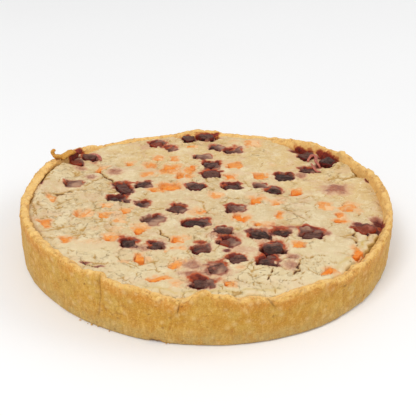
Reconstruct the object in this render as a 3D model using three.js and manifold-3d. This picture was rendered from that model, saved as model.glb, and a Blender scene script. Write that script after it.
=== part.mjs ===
// A large round quiche, whole and uncut. A golden pastry case with an uneven, torn rim holds a set
// cream filling with a cracked skin, and diced beetroot and carrot are baked into its top.
// Millimetres, +Z up. The origin is the centre of the base, on the surface that the quiche rests on.
// Angles run anticlockwise from +X, in degrees. The front of the quiche, at 270 degrees, faces -Y.

import * as THREE from 'three';
import { ConvexGeometry } from 'three/addons/geometries/ConvexGeometry.js';
import { mergeVertices } from 'three/addons/utils/BufferGeometryUtils.js';
import Module from 'manifold-3d';

const wasm = await Module();
wasm.setup();

// ---------------------------------------------------------------- driving dimensions

const RIM_RADIUS = 134;
const BASE_RADIUS = 133.6;
const OUT_OF_ROUND = 1;
const BASE_ROUNDING = 2.2;
const FLOOR_THICKNESS = 4;
const INNER_RADIUS = 126;
const FILLING_LEVEL = 30.4;
const GAP = 0.3;

const EDGE_RISE_START = 104;
const LEFT_DENT = 0.4;
const CREST_WIDTH = 5.2;
const CREST_CRAGS = 0.45;
const WALL_SWELL = 0.7;
const FILLING_SWELL = 0.5;
const EDGE_DROP = 2.4;
const CRACK_DEPTH = 2.6;
const INNER_SLOPE = 3;
const FLOOR_ROUNDING = 3;
const EDGE_ROUNDING = 2.2;
const DICE_CLEARANCE = 0.35;
const DICE_REACH = INNER_RADIUS - 1.9;
const DICE_TILT = 0.1;
const DICE_WEAR = 0.16;
const CORNER_CUT = [0.14, 0.36];
const POCKET_RISE = 8;

const RIM_STEPS = 124;
const FILLING_STEPS = 30;
const SLIVER = 0.03;
const SEED = 5;

// Height of the pastry's crest round the rim: angle, height.
const CREST = [
  [0, 37.2], [7, 38.8], [15, 39.2], [24, 37.4], [32, 39.3], [36, 38.4], [38, 36.6], [49, 36.8],
  [56, 34.4], [67, 31.6], [77, 30], [84, 30.4], [89, 33], [97, 32.8], [102, 30.4], [109, 29.6],
  [120, 30.4], [131, 31.6], [139, 35.2], [148, 38.6], [158, 39.4], [167, 38.2], [180, 37.6],
  [200, 38.6], [214, 39.5], [229, 39.4], [236, 37.4], [240, 39.6], [241.9, 41.2], [242.8, 36.6],
  [246, 36.2], [251, 36.2], [255, 35.2], [258, 33.2], [261, 31.2], [263.3, 30.4], [264.4, 32],
  [266.2, 34.8], [268.6, 38.4], [270.7, 39.8], [271.6, 36.2], [273, 35.2], [275.6, 36.2],
  [277.4, 33.8], [279, 31.6], [280.5, 33.4], [283, 32.8], [285.4, 31.6], [286.8, 29.4], [288, 27.8],
  [290, 30.6], [292.6, 31.8], [295.6, 32.6], [301, 33.2], [308, 30.8], [318, 30.4], [329, 32],
  [344, 35.4],
];

// Seams where edges of the rolled pastry meet: angle at the crest and at the foot of the seam,
// height of the foot, depth, and half width in degrees.
const SEAMS = [
  { crest: 242.3, foot: 241, footHeight: 4, depth: 1.7, halfWidth: 0.5 },
  { crest: 263.8, foot: 263.1, footHeight: 18, depth: 1.2, halfWidth: 0.45 },
  { crest: 286.1, foot: 289, footHeight: 20, depth: 1.4, halfWidth: 0.5 },
];

// Diced beetroot: centre x and y, width, length, turn in degrees, height of the top above the filling.
const BEETROOT = [
  [-110, 61, 8, 10, 30, 0.2], [-99, 73, 12, 10, 10, 1.2], [-42, 104, 14, 12, 30, 0.8],
  [-31, 95, 7, 11, 20, -0.4], [-17, 119, 10, 13, 25, 2.4], [-1, 118.5, 14, 12, 4, 3.4],
  [7, 97, 11, 9, -30, 0.6], [21, 92, 14, 10, 20, 0.1], [-3, 78, 15, 8, 0, 0.3],
  [3, 63, 13, 13, 6, 0.8], [3, 46, 15, 12, -4, 0.7], [-48, 25, 13, 11, 4, 0.5],
  [-62.5, 18, 10, 22, 26, 0.6], [-64.5, 0, 16, 8.5, -6, 0.4], [-101, 23, 14, 12, 8, 0.4],
  [-46, -8, 9, 10, 0, 0.2], [-8, 22, 14, 12, -5, 0.9], [19, 24, 14, 13, 5, 0.6],
  [41, 27, 9, 9, 12, 0.1], [50, 18, 11, 11, 45, 0.7], [60, 43, 16, 14, 8, 0.7],
  [79.5, 55.5, 12, 10.5, -8, 0.5], [81, 82, 13, 12, 40, 2.6], [97.5, 66, 14, 12, 55, 3.0],
  [-20.5, -14, 11, 14, -30, 0.7], [-36.5, -32, 15, 15, 30, 0.8], [-8, -35, 19, 10, 15, 0.6],
  [21, -14, 13, 13, 3, 0.8], [11, -45, 14, 9, -5, 0.6], [15, -61, 13, 13, -20, 0.9],
  [-3, -71, 14, 11, 30, 0.5], [20, -83, 14, 11, 20, 0.5], [36, -50, 15, 14, 6, 0.4],
  [51.5, -46, 13, 11, -25, 0.6], [72, -47, 16, 15, -5, 0.8], [44, -69, 15, 13, 4, 0.9],
  [40, -85, 15, 11, -10, 0.5], [7, -94.5, 12, 12, 10, -0.2], [-1.3, -111.5, 14, 11, -6, 0.6],
  [-51, -65, 10, 12, 8, 0.4], [-32.5, -68, 10, 11, 4, 0.6], [111.5, -42, 14, 13, 25, 2.2],
];

// Diced carrot as large as the beetroot, in the same order of values.
const CARROT = [
  [-27, 22, 17, 12, 12, 0.5], [22, 62, 12, 12, 15, 0.7], [42.5, 43.5, 13, 9, 20, 0.5],
  [-28, 55, 15, 13, -8, 0.2], [-18, 42, 12, 9, 6, 0.3], [-46, 44, 10, 8, 10, 0.3],
  [-45, 61, 9, 8, 0, 0.3], [85.5, -5, 10, 12, 10, 0.7], [103, -7.3, 9, 13, -30, 0.4],
  [-86.5, -23, 10, 10, 5, 0.2], [-92, -63, 9, 8, 15, 0.5], [-63, -57.5, 9, 7, -5, 0.4],
  [-45, -45, 10, 10, 40, 0.4], [24, -27, 12, 7, -20, 0.3], [-5, -18, 8, 8, 5, 0.1],
  [36, 1, 8, 10, 0, 0.4],
];

// Small carrot pieces that are fused to the filling, in the same order of values.
const CARROT_BITS = [
  [-71, -26, 8, 8, 0, 0.5], [-57, -18, 8, 7, 12, 0.5], [-72, -11, 8, 7, 0, 0.4],
  [-109, -42, 6, 13, 20, 0.7], [-113, -3.5, 7, 8, 0, 0.5], [-42, -84, 5, 9, 8, 0.6],
  [-18, -59, 8, 8, 0, 0.5], [-28, -107, 4, 13, -55, 0.6], [-19, -91, 5, 11, -25, 0.6],
  [15, -112, 6, 4, 0, 0.5], [61, -63, 8, 7, 0, 0.5], [-40, 75, 8, 9, 0, 0.4],
  [-84, 51, 4, 11, -8, 0.5], [18, 40, 7, 6, 10, 0.5], [67, 17, 9, 9, 5, 0.5],
  [7, 7, 6, 8, 0, 0.5], [50, -3, 6, 6, 0, 0.5], [51, -23, 4, 10, 0, 0.5],
  [40, -36, 12, 5, 0, 0.5], [94, -20, 5, 8, 0, 0.4], [98, -73.5, 10, 5, 53, 0.9],
  [76.5, -96.2, 11, 5, 38.5, 0.9], [-14, 101, 9, 5, 0, 0.5], [38, 107, 13, 12, 10, 0.3],
];

// Pieces hidden under the skin, which they lift: centre x and y, half length, half width, turn, rise.
const LUMPS = [
  [97, 20, 13, 8, 10, 1.6], [-93, 70, 12, 7, 0, 0.9], [-70, 50, 11, 7, -10, 1.3],
  [-105, 45, 10, 7, 0, 0.8], [40, 110, 9, 10, 0, 1.5], [23, 109, 8, 8, 0, 1.2],
  [-68, 75, 10, 8, 0, 1.1], [4, -92, 11, 10, 0, 0.8], [-14, -48, 11, 7, 0, 0.7],
  [60, -20, 13, 8, 20, 0.7], [-80, -45, 12, 8, -15, 0.7], [66, 88, 10, 8, 0, 0.8],
];

// Places where the skin climbs towards the pastry: angle, half width in degrees, rise at the edge.
const EDGE_RISES = [[166, 20, 6.2], [203, 16, 2.2], [27, 17, 3]];

// Cracks in the skin, each a line of x and y points with its width at the surface.
const CRACKS = [
  { width: 1.6, line: [[-120, 0.6], [-116, 3], [-110.4, 3.4], [-105.9, 6.6], [-101.8, 11.4]] },
  { width: 1.3, line: [[-100.6, 12.2], [-97.5, 13.2], [-90, 15.5]] },
  { width: 1.4, line: [[-86, 50], [-83, 45], [-78, 38], [-73, 32]] },
  { width: 1.3, line: [[-78, -89], [-73, -92], [-67, -95]] },
  { width: 1.3, line: [[-33, -48], [-31, -49], [-26, -56], [-24, -61]] },
  { width: 1.5, line: [[43, -94], [41, -97], [40, -102], [38, -107]] },
  { width: 1.8, line: [[61, -81], [59, -86], [57, -90], [58, -94], [54, -100]] },
  { width: 1.2, line: [[63, -80], [69, -77], [79, -76]] },
  { width: 1.3, line: [[47, -107], [53, -108], [58, -106], [61, -103]] },
  { width: 1.6, line: [[98, -49], [101, -53], [99, -62]] },
  { width: 1.2, line: [[96, -1], [101, 3], [104, 4]] },
  { width: 1.3, line: [[111, 63], [114, 52], [114, 41], [107, 37]] },
];

// ---------------------------------------------------------------- colours

const COLOURS = {
  crust: { colour: '#d7a257', roughness: 0.7 },
  filling: { colour: '#e0c79d', roughness: 0.55 },
  beetroot: { colour: '#4b1518', roughness: 0.35 },
  carrot: { colour: '#e38a3c', roughness: 0.4 },
};

// ---------------------------------------------------------------- small tools

// A repeatable random source with values from 0 to 1.
function seededRandom(seed) {
  let state = seed;
  return () => {
    state = (state * 1664525 + 1013904223) % 4294967296;
    return state / 4294967296;
  };
}

const random = seededRandom(SEED);

function spread(amount) {
  return (random() * 2 - 1) * amount;
}

// Gentle uneven waves between about -1 and 1, for a surface with no two places alike.
function waves(a, b) {
  return (Math.sin(a + 1.7 * Math.sin(b * 0.6)) + Math.sin(b * 1.3 + a * 0.4 + 2)
    + Math.sin(a * 2.3 - b * 1.9 + 4)) / 3;
}

function smoothStep(low, high, value) {
  const t = THREE.MathUtils.clamp((value - low) / (high - low), 0, 1);
  return t * t * (3 - 2 * t);
}

// Height of the crest at an angle, eased between the named places and closed round the rim.
function crestHeight(degrees) {
  const angle = THREE.MathUtils.euclideanModulo(degrees, 360);
  const closed = [...CREST, [CREST[0][0] + 360, CREST[0][1]]];
  const next = closed.findIndex((place) => place[0] > angle);
  const [fromAngle, fromHeight] = closed[next - 1];
  const [toAngle, toHeight] = closed[next];
  const t = (angle - fromAngle) / (toAngle - fromAngle);
  return THREE.MathUtils.lerp(fromHeight, toHeight, t * t * (3 - 2 * t));
}

function bufferGeometry(positions, indices) {
  const geometry = new THREE.BufferGeometry();
  geometry.setAttribute('position', new THREE.Float32BufferAttribute(positions, 3));
  geometry.setIndex(indices);
  return geometry;
}

function toSolid(geometry) {
  const bare = geometry.clone();
  bare.deleteAttribute('normal');
  bare.deleteAttribute('uv');
  const merged = mergeVertices(bare, 1e-4);
  return new wasm.Manifold(new wasm.Mesh({
    numProp: 3,
    vertProperties: new Float32Array(merged.attributes.position.array),
    triVerts: new Uint32Array(merged.index.array),
  }));
}

// The largest body of a cut solid, without slivers or loose scraps.
function toGeometry(solid) {
  const bodies = solid.simplify(SLIVER).decompose();
  const largest = bodies.reduce((best, body) => (body.volume() > best.volume() ? body : best));
  const mesh = largest.getMesh();
  return bufferGeometry(mesh.vertProperties, Array.from(mesh.triVerts));
}

function meshOf(name, geometry, look) {
  geometry.computeVertexNormals();
  const material = new THREE.MeshStandardMaterial({
    name: look,
    color: COLOURS[look].colour,
    roughness: COLOURS[look].roughness,
    metalness: 0,
  });
  const mesh = new THREE.Mesh(geometry, material);
  mesh.name = name;
  return mesh;
}

// Joins rings of equally many points, and closes both ends with a fan on a centre point.
function loft(rings, firstCentre, lastCentre) {
  const count = rings[0].length;
  const positions = [...rings.flat(), firstCentre, lastCentre].flat();
  const first = rings.length * count;
  const last = first + 1;
  const indices = [];
  for (let i = 0; i < count; i += 1) {
    const j = (i + 1) % count;
    indices.push(first, j, i);
    indices.push(last, (rings.length - 1) * count + i, (rings.length - 1) * count + j);
    for (let ring = 0; ring < rings.length - 1; ring += 1) {
      const low = ring * count;
      const high = low + count;
      indices.push(low + i, low + j, high + j);
      indices.push(low + i, high + j, high + i);
    }
  }
  return bufferGeometry(positions, indices);
}

// ---------------------------------------------------------------- pastry case

// Angles of the rim's columns: even steps, with closer ones on both sides of each seam.
function rimAngles() {
  const even = Array.from({ length: RIM_STEPS }, (_, i) => (i * 360) / RIM_STEPS);
  const close = SEAMS.flatMap((seam) => [-2, -1, 0, 1, 2].map((step) => (
    seam.crest + step * seam.halfWidth)));
  const clear = even.filter((angle) => close.every((other) => Math.abs(other - angle) > 0.7));
  return [...clear, ...close].sort((a, b) => a - b);
}

// Columns beside a slanted seam lean with it, down to the seam's foot.
function seamLean(degrees, height) {
  return SEAMS.reduce((lean, seam) => {
    const crest = crestHeight(seam.crest);
    const down = THREE.MathUtils.clamp((crest - height) / (crest - seam.footHeight), 0, 1);
    const near = Math.exp(-(((degrees - seam.crest) / 8) ** 2));
    return lean + (seam.foot - seam.crest) * down * near;
  }, 0);
}

// Depth of the seams in the outer wall. The pastry on the left of a seam stands a little proud.
function seamDepth(degrees, height) {
  return SEAMS.reduce((depth, seam) => {
    const beside = (degrees - seam.crest) / seam.halfWidth;
    const open = smoothStep(seam.footHeight, seam.footHeight + 6, height);
    const groove = seam.depth * Math.exp(-beside * beside);
    const lip = 0.45 * seam.depth * Math.exp(-(((beside + 2.2) / 1.6) ** 2));
    return depth + (groove - lip) * open;
  }, 0);
}

// One column of the case from the centre of its base, up the wall and over the crest, and down to the
// centre of its floor: radius, height.
function crustColumn(degrees) {
  const turn = THREE.MathUtils.degToRad(degrees);
  const crest = crestHeight(degrees) + spread(CREST_CRAGS);
  const oval = OUT_OF_ROUND * Math.sin(2 * turn - 1.2);
  const dent = LEFT_DENT * Math.exp(-(((degrees - 178) / 14) ** 2));
  const rim = RIM_RADIUS + oval - dent + 0.3 * waves(turn * 5, 1) + spread(0.2);
  const foot = BASE_RADIUS + oval + 0.4 * waves(turn * 7, 3);
  const wall = (share) => {
    const height = share * crest;
    const swell = WALL_SWELL * waves(turn * 17, height * 0.14) * Math.sin(Math.PI * share);
    return [THREE.MathUtils.lerp(foot, rim, share) + swell - seamDepth(degrees, height), height];
  };
  const innerTop = Math.min(FILLING_LEVEL - 2, crest - 3);
  const lipWidth = CREST_WIDTH + 0.8 * waves(turn * 9, 5);
  return [
    [foot - BASE_ROUNDING, 0],
    [foot - 0.4, BASE_ROUNDING * 0.5],
    wall(0.14),
    wall(0.38),
    wall(0.62),
    wall(0.84),
    [rim - 0.5 - seamDepth(degrees, crest), crest - 1.7],
    [rim - 2.2 - seamDepth(degrees, crest), crest - 0.1],
    [rim - lipWidth, crest - 1.2],
    [INNER_RADIUS + 1.3, THREE.MathUtils.lerp(crest - 1.2, innerTop, 0.55)],
    [INNER_RADIUS, innerTop],
    [INNER_RADIUS - INNER_SLOPE, FLOOR_THICKNESS + FLOOR_ROUNDING],
    [INNER_RADIUS - INNER_SLOPE - FLOOR_ROUNDING, FLOOR_THICKNESS],
  ];
}

function crustShell() {
  const angles = rimAngles();
  const columns = angles.map(crustColumn);
  const rings = columns[0].map((_, level) => columns.map((column, i) => {
    const [radius, height] = column[level];
    const outer = level < 9 ? seamLean(angles[i], height) : 0;
    const turn = THREE.MathUtils.degToRad(angles[i] + outer);
    return [radius * Math.cos(turn), radius * Math.sin(turn), height];
  }));
  return loft(rings, [0, 0, 0], [0, 0, FLOOR_THICKNESS]);
}

// A sliver of pastry that has come loose from the crest and curls up.
function pastryCurl() {
  const turn = THREE.MathUtils.degToRad(156);
  const out = new THREE.Vector3(Math.cos(turn), Math.sin(turn), 0);
  const along = new THREE.Vector3(-Math.sin(turn), Math.cos(turn), 0);
  const base = out.clone().multiplyScalar(RIM_RADIUS - 4).setZ(37);
  const path = new THREE.CatmullRomCurve3([
    base,
    base.clone().addScaledVector(out, 0.3).addScaledVector(along, 0.2).setZ(40.2),
    base.clone().addScaledVector(out, 1.6).addScaledVector(along, 0.6).setZ(43),
    base.clone().addScaledVector(out, 0.9).addScaledVector(along, -0.6).setZ(45.6),
  ]);
  const sides = 7;
  const steps = 6;
  const rings = Array.from({ length: steps + 1 }, (_, step) => {
    const share = step / steps;
    const centre = path.getPoint(share);
    const size = THREE.MathUtils.lerp(2.3, 1.1, share);
    return Array.from({ length: sides }, (_unused, side) => {
      const angle = (side * 2 * Math.PI) / sides;
      return [
        centre.x + size * Math.cos(angle),
        centre.y + size * Math.sin(angle),
        centre.z,
      ];
    });
  });
  return loft(rings, path.getPoint(0).toArray(), path.getPoint(1).setZ(path.getPoint(1).z + 0.5).toArray());
}

function makeCrust() {
  const solid = toSolid(crustShell()).add(toSolid(pastryCurl()));
  return meshOf('crust', toGeometry(solid), 'crust');
}

// ---------------------------------------------------------------- diced vegetables

// A box with uneven faces whose corners are each cut off, as a diced and baked vegetable has.
function dicePoints(width, length, depth, grow = 0, shape = random) {
  const half = [width / 2, length / 2, depth / 2];
  const points = [];
  for (const sx of [-1, 1]) {
    for (const sy of [-1, 1]) {
      for (const sz of [-1, 1]) {
        const signs = [sx, sy, sz];
        const corner = half.map((size, axis) => signs[axis] * size * (1 - DICE_WEAR * shape()));
        const cut = half.map((size) => size * THREE.MathUtils.lerp(...CORNER_CUT, shape()));
        for (const axis of [0, 1]) {
          const point = corner.map((value, k) => value - (k === axis ? signs[k] * cut[k] : 0));
          point[2] -= axis === 0 ? signs[2] * cut[2] * 0.6 : 0;
          points.push(new THREE.Vector3(...point.map((value, k) => value + signs[k] * grow)));
        }
      }
    }
  }
  return points;
}

// A small cut piece: a box with uneven corners.
function bitPoints(width, length, depth) {
  const signs = [-1, 1];
  return signs.flatMap((sx) => signs.flatMap((sy) => signs.map((sz) => new THREE.Vector3(
    (sx * width * (1 - 0.3 * random())) / 2,
    (sy * length * (1 - 0.3 * random())) / 2,
    (sz * depth * (1 - 0.1 * random())) / 2,
  ))));
}

function hull(points) {
  const geometry = new ConvexGeometry(points);
  geometry.deleteAttribute('normal');
  return mergeVertices(geometry, 1e-4);
}

// Places a piece in the filling and, by the rim, moves it inward until it clears the pastry.
function placeDice([x, y, width, length, turn, proud]) {
  const depth = 0.62 * Math.min(width, length) + 2.5;
  const shapeSeed = Math.floor(random() * 1e6) + 1;
  const placed = new THREE.Object3D();
  placed.rotation.set(spread(DICE_TILT), spread(DICE_TILT), THREE.MathUtils.degToRad(turn));
  placed.position.set(x, y, fillingHeight(x, y) + proud - depth / 2);
  placed.updateMatrixWorld();
  const points = dicePoints(width, length, depth, 0, seededRandom(shapeSeed));
  const reach = Math.max(...points.map((point) => (
    point.clone().applyMatrix4(placed.matrixWorld).setZ(0).length())));
  const inward = Math.max(0, reach - DICE_REACH);
  const place = new THREE.Vector3(x, y, 0);
  placed.position.addScaledVector(place.normalize(), -inward);
  placed.updateMatrixWorld();
  return { placed, points, width, length, depth, shapeSeed };
}

// The pocket round a piece: the piece grown by its clearance, and open to the top.
function dicePocket({ placed, width, length, depth, shapeSeed }) {
  const grown = dicePoints(width, length, depth, DICE_CLEARANCE, seededRandom(shapeSeed));
  const low = grown.map((point) => point.applyMatrix4(placed.matrixWorld));
  const high = low.map((point) => point.clone().add(new THREE.Vector3(0, 0, POCKET_RISE)));
  return toSolid(hull([...low, ...high]));
}

function makeDice(kind, places) {
  return places.map((place, index) => {
    const dice = placeDice(place);
    const name = `${kind}_${String(index + 1).padStart(2, '0')}`;
    const mesh = meshOf(name, hull(dice.points), kind);
    mesh.position.copy(dice.placed.position);
    mesh.rotation.copy(dice.placed.rotation);
    return { mesh, dice };
  });
}

// ---------------------------------------------------------------- filling

// How far the skin climbs near the pastry.
function edgeRise(x, y) {
  const degrees = THREE.MathUtils.radToDeg(Math.atan2(y, x));
  const near = smoothStep(EDGE_RISE_START, INNER_RADIUS, Math.hypot(x, y));
  return EDGE_RISES.reduce((rise, [angle, halfWidth, height]) => {
    const away = THREE.MathUtils.euclideanModulo(degrees - angle + 180, 360) - 180;
    return rise + height * near * Math.exp(-((away / halfWidth) ** 2));
  }, 0);
}

// Height of the filling's skin: low waves, lifted where a piece lies under it and near the pastry.
function fillingHeight(x, y) {
  const swell = FILLING_SWELL * waves(x / 19, y / 17) + 0.35 * waves(x / 7, y / 8 + 1);
  const lifted = LUMPS.reduce((rise, [cx, cy, halfLength, halfWidth, turn, lift]) => {
    const angle = THREE.MathUtils.degToRad(turn);
    const along = ((x - cx) * Math.cos(angle) + (y - cy) * Math.sin(angle)) / halfLength;
    const across = ((y - cy) * Math.cos(angle) - (x - cx) * Math.sin(angle)) / halfWidth;
    return rise + lift * Math.exp(-(along * along + across * across));
  }, 0);
  return FILLING_LEVEL + swell + lifted + edgeRise(x, y);
}

// A square grid bent to a disc, so that its cells stay about equal: square to disc, both from -1 to 1.
function squareToDisc(u, v) {
  if (u === 0 && v === 0) {
    return [0, 0];
  }
  const wide = Math.abs(u) > Math.abs(v);
  const radius = wide ? u : v;
  const angle = wide ? (Math.PI / 4) * (v / u) : Math.PI / 2 - (Math.PI / 4) * (u / v);
  return [radius * Math.cos(angle), radius * Math.sin(angle)];
}

function fillingBody() {
  const steps = FILLING_STEPS;
  const outerRadius = INNER_RADIUS - GAP;
  const topRadius = outerRadius - EDGE_ROUNDING;
  const positions = [];
  const indices = [];
  const at = (i, j) => i * (steps + 1) + j;
  for (let i = 0; i <= steps; i += 1) {
    for (let j = 0; j <= steps; j += 1) {
      const [x, y] = squareToDisc((2 * i) / steps - 1, (2 * j) / steps - 1);
      positions.push(x * topRadius, y * topRadius, fillingHeight(x * topRadius, y * topRadius));
    }
  }
  for (let i = 0; i < steps; i += 1) {
    for (let j = 0; j < steps; j += 1) {
      indices.push(at(i, j), at(i + 1, j), at(i + 1, j + 1));
      indices.push(at(i, j), at(i + 1, j + 1), at(i, j + 1));
    }
  }
  const edge = [];
  for (let k = 0; k < steps; k += 1) {
    edge.push(at(k, 0));
  }
  for (let k = 0; k < steps; k += 1) {
    edge.push(at(steps, k));
  }
  for (let k = steps; k > 0; k -= 1) {
    edge.push(at(k, steps));
  }
  for (let k = steps; k > 0; k -= 1) {
    edge.push(at(0, k));
  }
  const rings = [
    [outerRadius - 0.3 * EDGE_ROUNDING, (height) => height - 0.35 * EDGE_DROP],
    [outerRadius, (height) => height - EDGE_DROP],
    [outerRadius - INNER_SLOPE, () => FLOOR_THICKNESS + FLOOR_ROUNDING],
    [outerRadius - INNER_SLOPE - FLOOR_ROUNDING, () => FLOOR_THICKNESS + GAP],
  ];
  let previous = edge;
  for (const [radius, heightBelow] of rings) {
    const ring = edge.map((index) => {
      const [x, y, height] = positions.slice(3 * index, 3 * index + 3);
      const scale = radius / Math.hypot(x, y);
      positions.push(x * scale, y * scale, heightBelow(height));
      return positions.length / 3 - 1;
    });
    for (let k = 0; k < ring.length; k += 1) {
      const next = (k + 1) % ring.length;
      indices.push(previous[k], ring[k], ring[next]);
      indices.push(previous[k], ring[next], previous[next]);
    }
    previous = ring;
  }
  positions.push(0, 0, FLOOR_THICKNESS + GAP);
  const centre = positions.length / 3 - 1;
  for (let k = 0; k < previous.length; k += 1) {
    indices.push(centre, previous[(k + 1) % previous.length], previous[k]);
  }
  return bufferGeometry(positions, indices);
}

// A blade with a V section along a line on the skin. Cutting it out of the filling leaves a crack.
function crackBlade({ width, line }) {
  const rings = line.map(([x, y], i) => {
    const [fromX, fromY] = line[Math.max(0, i - 1)];
    const [toX, toY] = line[Math.min(line.length - 1, i + 1)];
    const across = new THREE.Vector2(-(toY - fromY), toX - fromX).normalize();
    const end = i === 0 || i === line.length - 1;
    const level = fillingHeight(x, y);
    const half = (end ? 0.35 : 0.5) * width;
    const depth = end ? 0.4 * CRACK_DEPTH : CRACK_DEPTH;
    const above = 3;
    const flare = half * (1 + above / depth);
    return [
      [x - across.x * flare, y - across.y * flare, level + above],
      [x, y, level - depth],
      [x + across.x * flare, y + across.y * flare, level + above],
    ];
  });
  const middle = (ring) => [0, 1, 2].map((axis) => (ring[0][axis] + ring[1][axis] + ring[2][axis]) / 3);
  return toSolid(loft(rings, middle(rings[0]), middle(rings[rings.length - 1])));
}

function makeFilling(dice) {
  let solid = toSolid(fillingBody());
  for (const crack of CRACKS) {
    solid = solid.subtract(crackBlade(crack));
  }
  for (const [x, y, width, length, turn, proud] of CARROT_BITS) {
    const depth = 0.5 * Math.min(width, length) + 2;
    const bit = hull(bitPoints(width, length, depth));
    bit.rotateZ(THREE.MathUtils.degToRad(turn));
    bit.translate(x, y, fillingHeight(x, y) + proud - depth / 2);
    solid = solid.add(toSolid(bit));
  }
  for (const piece of dice) {
    solid = solid.subtract(dicePocket(piece));
  }
  return meshOf('filling', toGeometry(solid), 'filling');
}

// ---------------------------------------------------------------- whole quiche

const quiche = new THREE.Group();
const vegetables = [...makeDice('beetroot', BEETROOT), ...makeDice('carrot', CARROT)];
quiche.add(makeCrust());
quiche.add(makeFilling(vegetables.map(({ dice }) => dice)));
for (const { mesh } of vegetables) {
  quiche.add(mesh);
}

export default quiche;
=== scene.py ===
"""A large round quiche, whole and uncut, on a pale floor.

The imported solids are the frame. Each of them is replaced by a detailed surface in the same place.
Shapes are worked out in millimetres, and make_piece() turns them into metres. Angles run anticlockwise
from +X in degrees, and the front of the quiche, at 270 degrees, faces -Y.
"""

import bpy
import numpy as np
from mathutils import Matrix


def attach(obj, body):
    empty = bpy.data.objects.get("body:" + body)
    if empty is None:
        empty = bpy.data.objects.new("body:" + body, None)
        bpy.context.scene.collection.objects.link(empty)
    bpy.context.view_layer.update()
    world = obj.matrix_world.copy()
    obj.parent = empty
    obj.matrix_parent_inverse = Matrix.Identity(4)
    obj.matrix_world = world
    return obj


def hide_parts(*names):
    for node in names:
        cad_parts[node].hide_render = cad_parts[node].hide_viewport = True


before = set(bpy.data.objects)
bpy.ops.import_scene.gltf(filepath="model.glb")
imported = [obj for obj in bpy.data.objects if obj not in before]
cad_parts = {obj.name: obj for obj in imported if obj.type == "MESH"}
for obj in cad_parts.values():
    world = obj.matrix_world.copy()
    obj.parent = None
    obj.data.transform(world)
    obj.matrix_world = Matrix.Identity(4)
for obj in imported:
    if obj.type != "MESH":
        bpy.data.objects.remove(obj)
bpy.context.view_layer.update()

# ------------------------------------------------------------------ measures, in millimetres unless said

MM = 0.001
RIM_RADIUS = 134
FOOT_RADIUS = 133.6
CASE_INSIDE = 126
CASE_FLOOR = 4
LIP_WIDTH = 5.2
FILLING_BASE = CASE_FLOOR + 0.3
FILLING_LEVEL = 30.4
FILLING_RADIUS = 125.7
EDGE_RISE_START = 104
CREST_INSET = 2.2
DENT_ANGLE = 178  # in degrees, like the next three
CURL_ANGLE = 156
ROUGH_SIDE = 262  # where the crest has its strongest crags
CALM_SPOT = 223  # and where it has the weakest
SHOWN_ABOVE = 26  # lower parts of the case's inner side are hidden by the filling
CRACK_DEPTH = 1.6
HOLLOW_DEPTH = 3.4
BEETROOT_SINK = 3  # how far the skin drops below a bare piece's top
CARROT_SINK = 2
FILM_THICKNESS = 0.22

# How finely the surfaces are divided.
CASE_COLUMNS = 900
CASE_STEPS = 96
FILLING_STEPS = 288
DICE_ROWS = 30
DICE_SPOKES = 44
CRUMB_ROWS = 6
CRUMB_SPOKES = 9
TUBE_SIDES = 12

# The camera's focal length and the width of its picture, in pixels, and its sensor in millimetres.
FOCAL_LENGTH = 802.608
PICTURE_WIDTH = 416
SENSOR_WIDTH = 36

# Light from all sides, and half the floor's width in metres.
SKY_STRENGTH = 0.66
FLOOR_HALF = 5

# First seeds of the pieces' shapes, of the film and the stains on each kind, and of the rest.
SHAPE_SEED = 100
BEETROOT_SEED = 210
CARROT_SEED = 230
BIT_SEED = 250
STRAND_SEED = 400
CURL_SEED = 450
CRUMB_SEED = 500

# Seams where edges of the rolled pastry meet: angle at the crest, angle at the foot, height of the
# foot, depth, half width in degrees.
SEAMS = [(242.3, 241, 4, 1.2, 0.36), (263.8, 263.1, 18, 1.3, 0.32), (286.1, 289, 20, 1.5, 0.42)]

# Places inside the rim where beetroot has stained the pastry: angle, half width in degrees, top height.
WALL_STAINS = [(146.5, 3.4, 39.5), (98, 3.2, 31.5), (91, 5.2, 33.5), (50, 4.2, 33.5), (38.8, 5.2, 36.5),
               (15, 1.6, 33), (344, 4.6, 33.5), (172, 2.0, 31)]

# Places where the filling sinks beside a stain: angle, half width in degrees.
HOLLOWS = [(150, 3), (98, 3.2), (91, 5.2), (50, 4.2), (38.8, 5.2), (344, 4.6)]

# Places where the crest drops at once on the side of smaller angles: angle, height, degrees of its back.
CREST_STEPS = [(33.5, 1.4, 8), (16.5, 0.9, 4), (12, 0.8, 3), (8.5, 0.8, 4), (24, 0.6, 4), (160.5, 1.2, 5),
               (118, 0.7, 4), (127, 0.6, 3), (200, 0.6, 5), (349, 0.7, 5)]

# Places where the lip of the crest is wider: angle, half width in degrees, extra width.
WIDE_LIPS = [(172, 20, 3), (221, 13, 1.6)]

# Route of the pastry's curl, from inside the crest up to its tip: angle, radius, height.
CURL = [(151.5, 127.2, 36), (153.3, 128.2, 38.4), (154.8, 129.2, 39.3), (156, 130.3, 40.3),
        (156.3, 131.4, 41.8), (156.5, 132, 43.6), (156.2, 131.6, 45), (155.6, 130.6, 45.2)]

# Route of the fold beside the curl, inside the crest: angle, radius, height.
FOLD = [(154.2, 127.6, 37.2), (152.5, 127.4, 38.2), (150, 127.6, 38.4), (147.6, 128.2, 37.8),
        (146.4, 128.6, 36.4)]

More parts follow.
